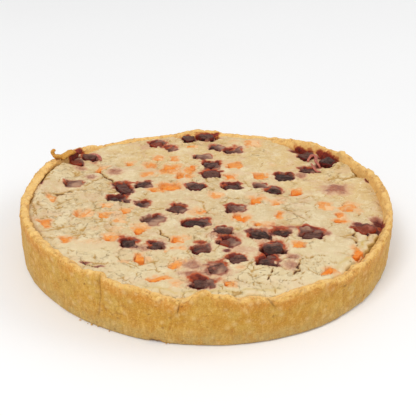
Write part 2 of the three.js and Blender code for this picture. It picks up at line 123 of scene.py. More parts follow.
# Shreds of beetroot skin: points x, y and z along the shred, radius, flatness.
STRANDS = [
    ([(80.8, 70.5, 31.2), (81.9, 72.2, 33.5), (83.3, 73.8, 34.8), (86.3, 76, 35.2), (87.8, 70.5, 35),
      (86.1, 66, 33.2)], 1.5, 0.6),
    ([(87.7, 71, 34.8), (85.9, 65.1, 34.4), (88.3, 61.9, 33.4), (89.7, 59.5, 31)], 1.4, 0.6),
    ([(83.1, 64.8, 32.3), (84, 56.8, 32.6), (85.5, 51.4, 31.8), (89.5, 53, 30.6)], 1.2, 0.5),
    ([(-97, 75, 32.6), (-92, 73.6, 33.9), (-87.6, 72, 33), (-85.6, 67, 31)], 1.6, 0.4),
]

# Scorched specks and the nick at the foot of the front wall: x, y, z, radius.
SCORCHES = [(-101, -83, 38, 0.8), (-96, -92, 33, 0.9), (-33, -129, 32, 0.9), (-31, -130, 0.8, 2.0),
            (-27.5, -131, 0.6, 1.8), (-104, 80, 38, 0.9), (90, 99, 34, 0.7), (118, 62, 38, 0.8)]

# Hidden pieces that lift the skin: centre x and y, half length, half width, turn, rise.
LUMPS = [
    (97, 20, 13, 8, 10, 1.6), (-93, 70, 12, 7, 0, 0.9), (-70, 50, 11, 7, -10, 1.3),
    (-105, 45, 10, 7, 0, 0.8), (40, 110, 9, 10, 0, 1.5), (23, 109, 8, 8, 0, 1.2),
    (-68, 75, 10, 8, 0, 1.1), (4, -92, 11, 10, 0, 0.8), (-14, -48, 11, 7, 0, 0.7),
    (60, -20, 13, 8, 20, 0.7), (-80, -45, 12, 8, -15, 0.7), (66, 88, 10, 8, 0, 0.8),
]

# Places where the skin climbs towards the pastry: angle, half width in degrees, rise at the edge.
EDGE_RISES = [(166, 20, 6.2), (203, 16, 2.2), (27, 17, 3)]

# Share of each piece that the filling's film covers, and how rusty red the piece is. Rust is the
# same for all carrot.
BEETROOT_LOOK = [
    (.2, .8), (.35, .3), (.3, .95), (.3, .3), (0, .1), (0, .3), (.4, .4), (.2, .3), (.6, .1), (0, .1),
    (.1, .35), (0, .1), (.1, .4), (.05, .1), (.6, .35), (.3, .3), (.15, .1), (0, .3), (.5, .4), (.2, .2),
    (.05, 0), (.1, 0), (0, .2), (0, .2), (.1, .4), (.5, .1), (.1, .4), (.5, .5), (.3, .2), (.3, .8),
    (.1, .5), (.1, .3), (0, 0), (.1, .1), (.3, .15), (.15, .1), (.2, .5), (.4, .4), (.1, .3), (.1, .3),
    (0, 0), (.2, 1.1),
]
CARROT_LOOK = [(cover, .2) for cover in (
    0, 0, .05, .35, .2, .5, .5, .75, .45, .65, .3, .6, .3, .15, .6, .3)]
BIT_LOOK = [(cover, .2) for cover in (
    .4, .6, .7, .3, .5, .3, .4, .3, .4, .5, .2, .8, .5, .4, .2, .6, .5, .4, .7, .5, .2, .2, .6, .9, .5,
    .7, .6, .7, .6, .8, .5, .8, .4)]

# Small carrot pieces: centre x and y, width, length, turn, height above the skin.
CARROT_BITS = [
    (-71, -26, 8, 8, 0, 0.5), (-57, -18, 8, 7, 12, 0.5), (-72, -11, 8, 7, 0, 0.4),
    (-109, -42, 6, 13, 20, 0.7), (-113, -3.5, 7, 8, 0, 0.5), (-42, -84, 5, 9, 8, 0.6),
    (-18, -59, 8, 8, 0, 0.5), (-28, -107, 4, 13, -55, 0.6), (-19, -91, 5, 11, -25, 0.6),
    (15, -112, 6, 4, 0, 0.5), (61, -63, 8, 7, 0, 0.5), (-40, 75, 8, 9, 0, 0.4),
    (-84, 51, 4, 11, -8, 0.5), (18, 40, 7, 6, 10, 0.5), (67, 17, 9, 9, 5, 0.5),
    (7, 7, 6, 8, 0, 0.5), (50, -3, 6, 6, 0, 0.5), (51, -23, 4, 10, 0, 0.5),
    (40, -36, 12, 5, 0, 0.5), (94, -20, 5, 8, 0, 0.4), (98, -73.5, 10, 5, 53, 0.9),
    (76.5, -96.2, 11, 5, 38.5, 0.9), (-14, 101, 9, 5, 0, 0.5), (38, 107, 13, 12, 10, 0.3),
    (-62, 62, 6, 6, 10, 0.5), (-27, 74, 5, 8, 0, 0.4), (-12, 56, 6, 9, 0, 0.5),
    (-28, 49, 12, 10, 30, 0.6), (-38, 16, 8, 6, -20, 0.5), (-61, -33, 8, 5, 10, 0.3),
    (-19, -70, 11, 4, 5, 0.4), (-18, -114, 6, 6, 0, 0.3), (94, -29, 9, 4, 8, 0.5),
]

# Stains in the skin over buried pieces and beside bare ones: centre x and y, half length, half width,
# strength.
BEETROOT_SHADES = [
    (3, 54.5, 8, 4, .95), (44, -48, 4, 5, .9), (42, -77.5, 8, 4, .9), (-60, 7, 5, 4, .95),
    (13, -53, 8, 3.5, .9), (45, 23, 4, 3, .75), (-37, 99, 4, 4, .8), (14, -72, 4, 4, .8),
    (90, 62, 5, 4, .9),
    (-99, 50, 6, 6, .42), (-89, 36, 6, 5, .45), (-71, 46, 9, 6, .45), (97, 21, 15, 11, .5),
    (73, 45, 6, 7, .45), (-8, -90, 8, 11, .44), (54, -88, 7, 9, .42), (-51, 99, 8, 8, .28),
    (4, 106, 5, 5, .4), (-75, -89.5, 5, 2, .7), (-68, -93.5, 5, 2, .7), (123, 33, 3, 4, .8),
    (-123, 14, 2, 5, .85),
    (-91, 69, 5, 8, .55), (104, -34, 5, 5, .85), (-42, 108, 8, 6, .3), (80, -46, 7, 6, .55),
    (8, -97, 12, 9, .6), (-8, -101, 12, 6, .5), (24, -71, 14, 6, .3), (14, -52, 14, 10, .4),
    (58, -39, 6, 4, .5), (41, -60, 12, 6, .34), (56, -78, 8, 6, .45), (-40, -70, 13, 6, .4),
]
RUST_SHADES = [
    (-4, -61, 5, 3.5, .6), (29, -51, 2.5, 4.5, .5), (121, -34, 3, 4, .55), (-56, -56, 4, 3, .4),
    (64, -39, 4, 3, .45),
]
CARROT_SHADES = [
    (39, 107, 8, 11, .4), (22, 112, 7, 6, .35), (-46, 62, 8, 5, .75), (-62, 62, 4, 5, .5),
    (-27, 72, 5, 7, .8), (-14, 52, 6, 8, .85), (-30, 50, 11, 8, .9), (-38, 17, 9, 5, .9),
    (-27, 20, 10, 5, .9), (-61, -25, 8, 7, .4), (-9, -18, 7, 6, .5), (-61, -45, 7, 5, .35),
    (53, 65, 4, 4, .3), (55, 6, 5, 5, .3), (22, -93, 5, 4, .5), (-18, -114, 5, 4, .45),
    (-19, -70, 8, 3, .5), (-75, -64, 9, 5, .3), (-76, -46, 5, 5, .3), (-52, -87, 5, 3, .45),
    (-37, -84, 4, 4, .45), (94, -29, 8, 3, .5), (40, -36, 10, 4, .4), (-72, -10, 8, 5, .4),
    (108, -12, 7, 8, .4), (85, -3, 8, 6, .45), (7, 7, 6, 6, .35), (30, -36, 9, 4, .3),
]

# Cracks in the skin: darkness from 0 to 1, which deepens the crack and paints shade in its core, width,
# points x and y along the line.
CRACKS = [
    (.8, 2.5, (-120, 0.6), (-116, 3), (-110.4, 3.4), (-105.9, 6.6), (-101.8, 11.4)),
    (1., 2.2, (-106, 6.6), (-101.4, 11.6), (-97.5, 13.2), (-90, 15.5)),
    (.3, 1.3, (-124, 16), (-118, 19.6)),
    (1., 1.6, (-85, 48), (-81, 42), (-77.5, 38), (-73, 32), (-69, 27)),
    (.3, 1.0, (-124, 24), (-120, 28), (-117, 31)), (.9, 1.1, (-123, 10), (-123, 17), (-122, 23)),
    (.3, 1.3, (-122, -11), (-119, -15), (-113, -15)), (.4, 1.3, (-124, -15), (-122, -23), (-118, -31)),
    (.1, 0.8, (-113, -15), (-105, -14), (-98, -15)),
    (.9, 0.9, (-81.5, 19.5), (-79.5, 12.8), (-76.7, 8.7)),
    (.3, 1.0, (-82, -20), (-78, -16), (-71, -10)), (.6, 0.7, (-112, 29), (-111, 22)),
    (.4, 0.9, (-96, -35), (-97, -42), (-101, -48), (-104, -45)),
    (.3, 0.9, (-90, -43), (-89, -37), (-87, -32)), (.3, 0.8, (-76, -36), (-71, -40)),
    (.4, 0.8, (-89, -49), (-85, -54)), (.4, 0.8, (-82, -51), (-80, -59)),
    (.3, 0.7, (-79, -60), (-74, -61)), (.3, 0.8, (-53, 3), (-44, -1), (-40, -8)),
    (.4, 0.8, (-40, -13), (-33, -14)), (.3, 0.7, (-70, -56), (-68, -64)),
    (.3, 0.8, (-50, -37), (-48, -43)), (.7, 0.9, (-90, -70), (-88, -80)),
    (.4, 0.8, (-103, -48), (-105, -54)), (.3, 1.4, (-79, -86), (-73, -88), (-66, -92), (-61, -89)),
    (.9, 1.2, (-78, -89), (-73, -92), (-67, -95)), (.3, 0.9, (-59, -81), (-53, -87)),
    (.3, 0.8, (-51, -84), (-46, -90)), (.2, 0.9, (-37, -95), (-33, -97), (-28, -99)),
    (.3, 0.9, (-27, -95), (-24, -91), (-22, -86)), (.3, 0.8, (-17, -102), (-13, -99)),
    (.8, 1.2, (-35, -43), (-31, -49), (-26, -56), (-24, -61)),
    (.4, 0.9, (18, -105), (21, -107), (25, -110)), (.4, 0.9, (25, -99), (30, -104)),
    (1., 1.5, (43, -92), (41, -97), (40, -102), (38, -107)), (.3, 0.9, (41, -113), (42, -119)),
    (1., 1.9, (61, -81), (59, -86), (57, -90), (58, -94), (54, -100)),
    (.3, 0.9, (60, -81), (69, -77), (79, -76)),
    (.3, 1.1, (47, -107), (53, -108), (58, -106), (61, -103)), (.3, 0.9, (56, -109), (60, -112)),
    (.2, 0.8, (32, -110), (39, -111)), (.4, 0.9, (70, -61), (69, -68)), (.6, 0.9, (79, -53), (78, -59)),
    (.9, 1.7, (100, -38), (102, -42), (100, -47), (98, -49), (101, -53), (99, -62)),
    (.4, 1.1, (92, 38), (96, 41), (101, 42)), (.4, 0.9, (87, 18), (90, 24)),
    (.7, 1.0, (96, -5), (101, 2), (104, 3)), (.8, 0.9, (109, -13), (109, -22)),
    (.4, 0.9, (79, -12), (79, -2), (82, 3)), (.2, 0.8, (63, -1), (67, -3), (77, -4)),
    (.3, 0.9, (69, -23), (72, -16), (75, -13)), (.4, 0.8, (90, -31), (84, -39)),
    (.5, 1.1, (111, 63), (114, 52), (114, 41), (107, 37)),
    (.3, 1.0, (-12, 2), (-8, -1), (-3, -2), (-1, -9), (-1, -20)), (.2, 0.7, (-36, -11), (-30, -16)),
    (.3, 0.8, (42, 60), (45, 69)), (.3, 0.8, (28, 12), (34, 20), (29, 36)),
    (.5, 0.9, (-70, -33), (-62, -41), (-55, -42)), (.4, 0.9, (30, -94), (27, -88)),
    (.7, 1.0, (48, -84), (52, -80), (58, -79)), (.8, 1.0, (50, -93), (55, -92)),
    (.3, 0.9, (-100, -48), (-93, -52), (-85, -51)), (.5, 1.0, (91, -50), (97, -52), (103, -57)),
]

# Ledges, where the skin on the left of a line lies over the next part: rise and points x and y.
LEDGES = [
    (1.0, (92, 39), (100, 42), (103, 39), (113, 39), (115, 50), (112, 60)),
    (0.9, (128, 19), (125, 29), (121, 38), (116, 38)),
    (0.8, (104, -41), (98, -35), (92, -34), (86, -39)),
    (0.9, (-112, 28), (-119, 26), (-123, 20), (-124, 12), (-123, 6)),
    (0.7, (-103, -23), (-113, -21), (-119, -20), (-120, -27), (-118, -36)),
    (0.6, (-2, -6), (-9, -1), (-20, 1), (-27, -3)), (0.6, (72, 2), (65, -3), (58, 1)),
    (0.6, (-38, -96), (-46, -91), (-54, -88), (-62, -91)),
]

# Where the filling has drawn back from the pastry: angle, half width in degrees, width of the gap.
EDGE_GAPS = [(323, 7, 2.6), (312, 4, 1.6), (334, 4, 1.9), (268, 13, 1.0), (287, 6, 1.0), (184, 4, 0.5),
             (168, 3, 0.8), (161, 5, 1.1), (231, 5, 1.5), (60, 9, 0.5), (21.5, 3.4, 4.2), (205, 8, 0.7)]

# Where the skin's edge has curled up and browned: angle, half width in degrees.
ROLLED_EDGES = [(271, 17), (321, 8)]

# ------------------------------------------------------------------ numbers that vary from place to place


def ease(low, high, value):
    """0 below low and 1 above high, with a smooth S between them. With low above high it falls."""
    t = np.clip((value - low) / (high - low), 0, 1)
    return t * t * (3 - 2 * t)


def bell(value, width):
    """1 where the value is 0, falling to 0.37 where it reaches the width on either side."""
    return np.exp(-(value / width) ** 2)


def lattice(cell, seed):
    """A number from 0 to 1 for each whole-number cell: its coordinates are multiplied by large
    primes, and their bits are mixed twice."""
    primes = (73856093, 19349663, 83492791)
    mixed = seed * 40503 + sum(cell[..., k] * primes[k] for k in range(cell.shape[-1]))
    for prime in (668265263, 374761393):
        mixed = mixed & 0xFFFFFFFF
        mixed = (mixed ^ (mixed >> 15)) * prime
    return ((mixed >> 8) & 0xFFFF) / 65535


def noise(place, size, seed):
    """Smooth noise from -1 to 1: numbers at the corners of cells of that size, blended along each axis."""
    place = place / size + 0.37 * seed
    cell = np.floor(place).astype(np.int64)
    part = place - cell
    part = part * part * (3 - 2 * part)
    total = 0
    for corner in np.ndindex(*(2,) * place.shape[-1]):
        weight = np.prod(np.where(corner, part, 1 - part), axis=-1)
        total = total + weight * lattice(cell + np.array(corner), seed)
    return 2 * total - 1


def rough(place, size, seed, octaves=3):
    """Noise summed over octaves, each with half the size and half the strength of the last."""
    return sum(noise(place, size / 2 ** k, seed + k) / 2 ** k for k in range(octaves)) / 1.6


def scatter(place, size, seed):
    """One point is scattered in each cell of that size. Gives the distances to the nearest and the
    second nearest point in cells, and a number from 0 to 1 that belongs to the nearest."""
    place = place / size
    cell = np.floor(place).astype(np.int64)
    near, second, mark = (np.full(place.shape[:-1], 9.0) for _ in range(3))
    for step in np.ndindex(*(3,) * place.shape[-1]):
        other = cell + np.array(step) - 1
        spot = other + np.stack([lattice(other, seed + k) for k in range(place.shape[-1])], -1)
        far = np.linalg.norm(spot - place, axis=-1)
        closer = far < near
        second = np.where(closer, near, np.minimum(second, far))
        mark = np.where(closer, lattice(other, seed + 9), mark)
        near = np.where(closer, far, near)
    return near, second, mark


def bent(place, *bends):
    """Places moved by noise, which makes straight patterns irregular: one move after another, each of
    a size, an amount and a seed."""
    for size, amount, seed in bends:
        moves = [noise(place, size, seed + 3 * k) for k in range(place.shape[-1])]
        place = place + amount * np.stack(moves, -1)
    return place


def waves(a, b):
    """Three sine waves in different directions, averaged."""
    first = np.sin(a + 1.7 * np.sin(b * 0.6))
    return (first + np.sin(b * 1.3 + a * 0.4 + 2) + np.sin(a * 2.3 - b * 1.9 + 4)) / 3


def around(degrees, middle):
    """Signed angle from middle, between -180 and 180 degrees."""
    return (degrees - middle + 180) % 360 - 180


def ellipses(x, y, rows, seed):
    """The strongest of soft ragged ellipses at each place: each is full near its middle and fades
    out beyond its two half widths. A row is as in the tables of stains."""
    ragged = 0.35 * rough(np.stack([x, y], -1), 5, seed, 4)
    return np.max([
        strength * ease(1.25, 0.35, np.hypot((x - middle_x) / half_x, (y - middle_y) / half_y) + ragged)
        for middle_x, middle_y, half_x, half_y, strength in rows], axis=0)


# ------------------------------------------------------------------ meshes


def make_piece(name, place, faces, finish, slot, stands_for=(), marks=None):
    """Puts a surface into the scene: points in millimetres, faces as lists of point numbers, and
    marks, a number for each point or one for all, that the finish reads by name."""
    mesh = bpy.data.meshes.new(name)
    mesh.from_pydata((place * MM).tolist(), [], faces)
    mesh.polygons.foreach_set("use_smooth", np.ones(len(mesh.polygons), bool))
    for mark, values in (marks or {}).items():
        layer = mesh.attributes.new(mark, "FLOAT", "POINT")
        layer.data.foreach_set("value", np.full(len(place), values, np.float32))
    mesh.materials.append(finish)
    mesh.update()
    piece = bpy.data.objects.new(name, mesh)
    bpy.context.scene.collection.objects.link(piece)
    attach(piece, "root")
    if stands_for:
        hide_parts(*stands_for)


def ring_quads(rings, points, start=0, inward=False):
    """Quads between rings of points, each ring joined end to start. The rings follow one another in
    the list of points, and faces point outwards where the rings run anticlockwise and rise."""
    ring, point = np.meshgrid(np.arange(rings - 1), np.arange(points), indexing="ij")
    after = (point + 1) % points
    low, high = start + ring * points, start + (ring + 1) * points
    quads = np.stack([low + point, low + after, high + after, high + point], -1).reshape(-1, 4)
    return (quads[:, ::-1] if inward else quads).tolist()


def fan(centre, ring, upward):
    """Triangles from a centre point to a ring of points, seen from above if upward."""
    after = np.roll(ring, -1)
    first, second = (ring, after) if upward else (after, ring)
    return np.stack([np.full(len(ring), centre), first, second], -1).tolist()


def closed_rings(rings, points, start=0, inward=False):
    """Quads between the rings and a fan at each end, whose two centres follow the rings' points."""
    centre, ring = start + rings * points, start + np.arange(points)
    return (ring_quads(rings, points, start, inward) + fan(centre, ring, inward)
            + fan(centre + 1, ring + (rings - 1) * points, not inward))


def closed_shapes(shapes, points, inward=False):
    """Points and faces of several closed surfaces as one. Each is rings of that many points, then its
    two centres."""
    faces, start = [], 0
    for shape in shapes:
        faces += closed_rings(len(shape) // points, points, start, inward)
        start += len(shape)
    return np.concatenate(shapes), faces


def ball(rows, spokes):
    """Unit vectors over a sphere in rows from the bottom pole to the top one, then both poles."""
    polar, turn = np.meshgrid(np.pi * (np.arange(rows) + 1) / (rows + 1),
                              2 * np.pi * np.arange(spokes) / spokes, indexing="ij")
    way = np.stack([np.sin(polar) * np.cos(turn), np.sin(polar) * np.sin(turn), -np.cos(polar)], -1)
    return np.concatenate([way.reshape(-1, 3), [[0, 0, -1], [0, 0, 1]]])


def unit(vectors):
    """The vectors at length 1."""
    return vectors / np.maximum(np.linalg.norm(vectors, axis=-1, keepdims=True), 1e-9)


def on_circle(radius, degrees):
    """Places x and y at those angles on a circle round the axis."""
    turn = np.radians(degrees)
    return radius * np.stack([np.cos(turn), np.sin(turn)], -1)


def round_axis(x, y):
    """Radius and angle, from 0 to 360 degrees, of places."""
    return np.hypot(x, y), np.degrees(np.arctan2(y, x)) % 360


def outward(grid):
    """Unit normals of a closed grid of points, by row and point round it: the cross product of the
    differences round each row and from row to row."""
    return unit(np.cross(np.roll(grid, -1, 1) - np.roll(grid, 1, 1), np.gradient(grid, axis=0)))


def corners_of(node):
    """Corners of a CAD solid in millimetres, three for each triangle."""
    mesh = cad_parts[node].data
    place = np.zeros(3 * len(mesh.vertices), np.float32)
    mesh.vertices.foreach_get("co", place)
    order = np.zeros(3 * len(mesh.polygons), np.int32)
    mesh.polygons.foreach_get("vertices", order)
    return (place.reshape(-1, 3) / MM)[order.reshape(-1, 3)]


# ------------------------------------------------------------------ pastry case


def rim_radius(degrees):
    """Radius of the rim: a circle that is slightly oval, with one shallow dent and low waves."""
    turn = np.radians(degrees)
    dent = 0.4 * bell(degrees - DENT_ANGLE, 14)
    return RIM_RADIUS + np.sin(2 * turn - 1.2) - dent + 0.3 * waves(turn * 5, 1)


def crest_line(degrees):
    """Height of the CAD case's crest at each angle, joined between the corners of its crest ring,
    which lies inside the rim's radius by the inset and the seams' depth. The curl is left out."""
    x, y, height = np.unique(np.round(corners_of("crust").reshape(-1, 3), 2), axis=0).T
    radius, angle = round_axis(x, y)
    _, depth, _ = seam_fields(angle, height, height)
    off_ring = radius - (rim_radius(angle) - CREST_INSET - depth)
    kept = (abs(off_ring) < 0.8) & (height > SHOWN_ABOVE) & (abs(angle - CURL_ANGLE) > 2.5)
    order = np.argsort(angle[kept])
    return np.interp(degrees, angle[kept][order], height[kept][order], period=360)


def seam_fields(degrees, height, crest):
    """Lean of the columns beside each seam, depth of the seams, and how open each is: a bell across
    the seam, with a low lip on its left, that closes towards its foot."""
    lean, depth, groove = (np.zeros_like(degrees) for _ in range(3))
    for at_crest, at_foot, foot_height, deep, half_width in SEAMS:
        down = np.clip((crest - height) / (crest - foot_height), 0, 1)
        lean = lean + (at_foot - at_crest) * down * bell(around(degrees, at_crest), 8)
        wander = 0.6 * noise(np.stack([height, height * 0], -1), 5, int(40 + deep * 10))
        beside = (around(degrees, at_crest) + wander) / half_width
        still_open = ease(foot_height, foot_height + 7, height)
        dip = bell(beside, 1)
        lip = 0.45 * bell(beside + 2.6, 1.9)
        depth = depth + deep * (dip - lip) * still_open
        groove = np.maximum(groove, dip * still_open * min(1, deep / 1.5))
    return lean, depth, groove


def case_lines(degrees):
    """Height of the crest with its crags, radius of the rim and width of the lip at each angle."""
    ring = on_circle(130, degrees)
    crags = 0.65 * noise(ring, 3.4, 1) + 0.5 * noise(ring, 1.6, 2) + 0.25 * noise(ring, 9, 3)
    calm = 0.5 + 0.5 * ease(-0.2, 0.5, noise(ring, 55, 4) + 0.5 * np.cos(np.radians(degrees - ROUGH_SIDE)))
    calm = calm * (1 - 0.65 * bell(around(degrees, CALM_SPOT), 17))
    teeth = 0.9 * ease(0.35, 0, abs(noise(ring, 5, 7))) ** 2 * ease(0, 0.5, noise(ring, 12, 8))
    for middle, step, back in CREST_STEPS:
        behind = around(degrees, middle) / back
        teeth = teeth + step * np.clip(1 - behind, 0, 1) * (behind > 0)
    lip = LIP_WIDTH + 0.8 * waves(np.radians(degrees) * 9, 5) + 0.7 * noise(ring, 6, 6)
    for middle, half, wider in WIDE_LIPS:
        lip = lip + wider * bell(around(degrees, middle), half)
    return crest_line(degrees) + crags * calm + teeth - 0.25, rim_radius(degrees), lip


def inner_corners(crest, rim, lip):
    """Three corners of the case's inner side under its crest, downwards: radius, height."""
    inner_top = np.minimum(FILLING_LEVEL - 2, crest - 3)
    middle = crest * 0.45 + inner_top * 0.55
    level = np.ones_like(crest)
    return ((rim - lip, crest - 1.4), ((CASE_INSIDE + 1.3) * level, middle),
            (CASE_INSIDE * level, inner_top))


def inner_radius(lines, height):
    """Radius of the case's inner side at a height, on straight lines between its corners."""
    (top_radius, top), (middle_radius, middle), (low_radius, low) = inner_corners(*lines)
    upper = np.clip((height - middle) / (top - middle), 0, 1)
    lower = np.clip((height - low) / (middle - low), 0, 1)
    return low_radius + (middle_radius - low_radius) * lower + (top_radius - middle_radius) * upper


def case_section(degrees):
    """Corner points of the case's section at each angle, as (points, angles) of radius and height: up
    the outer wall, over the crest, down inside and in along the floor."""
    turn = np.radians(degrees)
    crest, rim, lip = case_lines(degrees)
    foot = FOOT_RADIUS + np.sin(2 * turn - 1.2) + 0.4 * waves(turn * 7, 3)
    level = np.ones_like(turn)
    points = [(foot - 7, 0 * level), (foot - 2, 0 * level), (foot - 0.5, 0.9 * level)]
    for share in (0.09, 0.2, 0.32, 0.44, 0.56, 0.68, 0.8, 0.9):
        height = share * crest
        swell = 0.7 * waves(turn * 17, height * 0.14) * np.sin(np.pi * share)
        points.append((foot + (rim - foot) * share + swell, height))
    points += [(rim - 0.35, crest - 1.7), (rim - 1.1, crest - 0.4), (rim - 2.4, crest + 0.05),
               (rim - 0.75 * lip, crest - 0.45), *inner_corners(crest, rim, lip)]
    inner_top = points[-1][1]
    points.append(((CASE_INSIDE - 0.8) * level, inner_top * 0.7))
    points += [((CASE_INSIDE - inset) * level, height * level)
               for inset, height in ((3, 7), (6, CASE_FLOOR), (30, CASE_FLOOR))]
    return np.array(points).transpose(0, 2, 1), crest, rim


def round_corners(points, times=3):
    """Each corner is cut off at a quarter of its two sides, and the new corners again, with both ends
    kept."""
    for _ in range(times):
        a, b = points[:-1], points[1:]
        cut = np.stack([0.75 * a + 0.25 * b, 0.25 * a + 0.75 * b], 1).reshape(-1, *points.shape[1:])
        points = np.concatenate([points[:1], cut, points[-1:]])
    return points


def even_rows(points, count):
    """Rows read from rounded sections at places that are close together where the surface shows and
    far apart under the filling."""
    step = np.linalg.norm(np.diff(points, axis=0), axis=-1).mean(1)
    radius, height = points.mean(1).T
    middle_height, middle_radius = (height[1:] + height[:-1]) / 2, (radius[1:] + radius[:-1]) / 2
    density = np.where(middle_height > SHOWN_ABOVE, 1.6, 1.0)
    density = np.where((middle_radius < CASE_INSIDE) & (middle_height < SHOWN_ABOVE), 0.35, density)
    density = np.where(middle_height < 0.3, 0.3, density)
    along = np.concatenate([[0], np.cumsum(step * density)])
    place = np.interp(np.linspace(0, along[-1], count), along, np.arange(len(along)))
    low = np.minimum(place.astype(int), len(points) - 2)
    part = (place - low)[:, None, None]
    return points[low] * (1 - part) + points[low + 1] * part


def wall_relief(place, crest, outside):
    """How far the pastry stands proud of its smooth form, and how open its fissures are. Lumps are
    noise of three sizes, blisters are small bells in scattered cells, and fissures run where a
    stretched noise passes through zero."""
    lumps = 0.34 * noise(place, 13, 11) + 0.2 * noise(place, 6, 12) + 0.13 * noise(place, 2.6, 13)
    grain = 0.07 * noise(place, 1.3, 14)
    near, _, mark = scatter(bent(place, (5, 0.8, 50)), 4.6, 15)
    blisters = 0.42 * bell(near, 0.3) * (mark > 0.62)
    pits = 0.45 * bell(near, 0.16) * (mark < 0.16)
    drawn = bent(place * np.array([1, 1, 1.6]), (9, 3.5, 17))
    line = np.abs(noise(drawn, 5.5, 18))
    patchy = ease(0.05, 0.5, noise(place, 17, 19)) * outside
    fissure = ease(0.12, 0.01, line) * patchy
    crumbly = ease(6, 0.5, crest - place[..., 2]) * ease(20, SHOWN_ABOVE, place[..., 2])
    crumbs = (0.6 + 0.4 * (1 - outside)) * rough(place, 2.8, 21, 2) * crumbly
    relief = lumps + grain + blisters - pits - 0.42 * fissure + crumbs
    return relief, fissure, blisters / 0.42, pits / 0.45, 0.5 + crumbs


def pastry_case(finish):
    """The case: a section rounded and read in rows at each angle, turned round the axis, moved out
    along its normals by the relief and closed with a fan at the middle of base and floor."""
    degrees = np.arange(CASE_COLUMNS) * 360 / CASE_COLUMNS
    section, crest, rim = case_section(degrees)
    rows = even_rows(round_corners(section), CASE_STEPS)
    radius, height = rows[..., 0], rows[..., 1]
    angle = np.broadcast_to(degrees, radius.shape)
    outside = ease(rim - 3.4, rim - 1.6, radius)
    lean, depth, groove = seam_fields(angle, height, crest)
    radius = radius - depth * outside
    turn = np.radians(angle + lean * outside)
    place = np.stack([radius * np.cos(turn), radius * np.sin(turn), height], -1)
    relief, fissure, blister, pit, crumb = wall_relief(place, crest, outside)
    shown = ease(0.2, 1.6, height)
    place = place + outward(place) * (relief * shown)[..., None]
    scorch = np.max([bell(np.linalg.norm(place - np.array(spot), axis=-1), size)
                     for *spot, size in SCORCHES], axis=0)
    place -= outward(place) * (0.8 * scorch)[..., None]
    ragged = rough(place, 5, 23, 4)
    stain = np.max([ease(1.4, 0.5, abs(around(angle, middle)) / half + 0.5 * ragged)
                    * ease(top + 0.5, top - 5, height + 2.5 * ragged)
                    for middle, half, top in WALL_STAINS], axis=0)
    place[..., 2] = np.maximum(place[..., 2], 0)
    points = np.concatenate([place.reshape(-1, 3), [[0, 0, 0], [0, 0, CASE_FLOOR]]])
    faces = closed_rings(CASE_STEPS, CASE_COLUMNS)
    marks = {
        "rise": np.clip(height / crest, 0, 1), "below_crest": crest - height, "inside": 1 - outside,
        "groove": np.maximum(groove * outside, 0.8 * fissure), "stain": stain * (1 - outside),
        "scorch": scorch, "blister": blister, "pit": pit, "crumb": crumb,
    }
    marks = {mark: np.append(values.ravel(), [0, 0]) for mark, values in marks.items()}
    make_piece("pastry_case", points, faces, finish, "crust", ["crust"], marks)


# ------------------------------------------------------------------ diced pieces


def faces_of(node):
    """Middle of a CAD piece, and the outward direction and distance from the middle of each face."""
    corner = corners_of(node)
    normal = unit(np.cross(corner[:, 1] - corner[:, 0], corner[:, 2] - corner[:, 0]))
    _, first = np.unique(np.round(normal, 2), axis=0, return_index=True)
    flat = corner.reshape(-1, 3)
    middle = (flat.min(0) + flat.max(0)) / 2
    return middle, normal[first], ((corner[first, 0] - middle) * normal[first]).sum(1)


def faces_of_bit(row, rng):
    """The same for a small piece from its row: a box whose four sides and top each lean a little."""
    x, y, width, length, turn, proud = row
    depth = 0.5 * min(width, length) + 2
    angle = np.radians(turn + np.array([0, 90, 180, 270]) + rng.uniform(-14, 14, 4))
    sides = np.stack([np.cos(angle), np.sin(angle), rng.uniform(-0.1, 0.35, 4)], -1)
    normal = unit(np.concatenate([sides, [[*rng.uniform(-0.12, 0.12, 2), 1], [0, 0, -1]]]))
    half = np.array([width, length, width, length]) / 2 * rng.uniform(0.8, 1, 4)
    middle = np.array([x, y, skin_height(np.array(x), np.array(y)) + proud - 0.35 - depth / 2])
    return middle, normal, np.append(half, [depth / 2, depth / 2])


def cooked_piece(solid, seed, wear):
    """Surface of one diced piece: from its middle, each direction is followed to a reach that is a
    power mean of the faces' own, which rounds edges and corners, and then dented by noise.
    Gives its points with both poles, how near each lies to an edge, and how far to the back."""
    middle, normal, reach = solid
    way = ball(DICE_ROWS, DICE_SPOKES)
    slope = np.maximum(way @ normal.T, 0) / reach
    out = (slope ** 9).sum(1) ** (-1 / 9)
    place = middle + way * out[:, None]
    dents = 1.25 * noise(place, 5, seed) + 0.6 * noise(place, 2.3, seed + 1) + 0.2
    drawn = place @ np.array([[np.cos(seed), 0.3, 0], [np.sin(seed), 0.3, 0], [0, 0, 0.3]])
    fibres = 0.2 * noise(drawn, 0.9, seed + 2)
    place = place + way * (wear * (dents + fibres))[:, None]
    upward = normal[:, 2] > 0.6
    toward = way @ normal.T / reach
    side = toward[:, ~upward].max(1) / toward[:, upward].max(1).clip(0.01)
    back = way[:, 1] / np.hypot(way[:, 0], way[:, 1]).clip(0.1)
    return place, ease(0.62, 1.12, side), ease(-0.2, 0.8, back)


def covered(flat, solid, cover, seed):
    """How well the film covers a piece, negative where the piece is bare: noise, more for a larger
    share, and more towards one side of the piece, mostly its right."""
    middle, _, reach = solid
    turn = np.radians(-50 + 150 * lattice(np.array([seed, 11]), 6))
    aside = (flat - middle[:2]) @ np.array([np.cos(turn), np.sin(turn)]) / reach.max()
    return rough(flat, 5, seed, 3) + 2.3 * (cover - 0.45) + 1.1 * aside


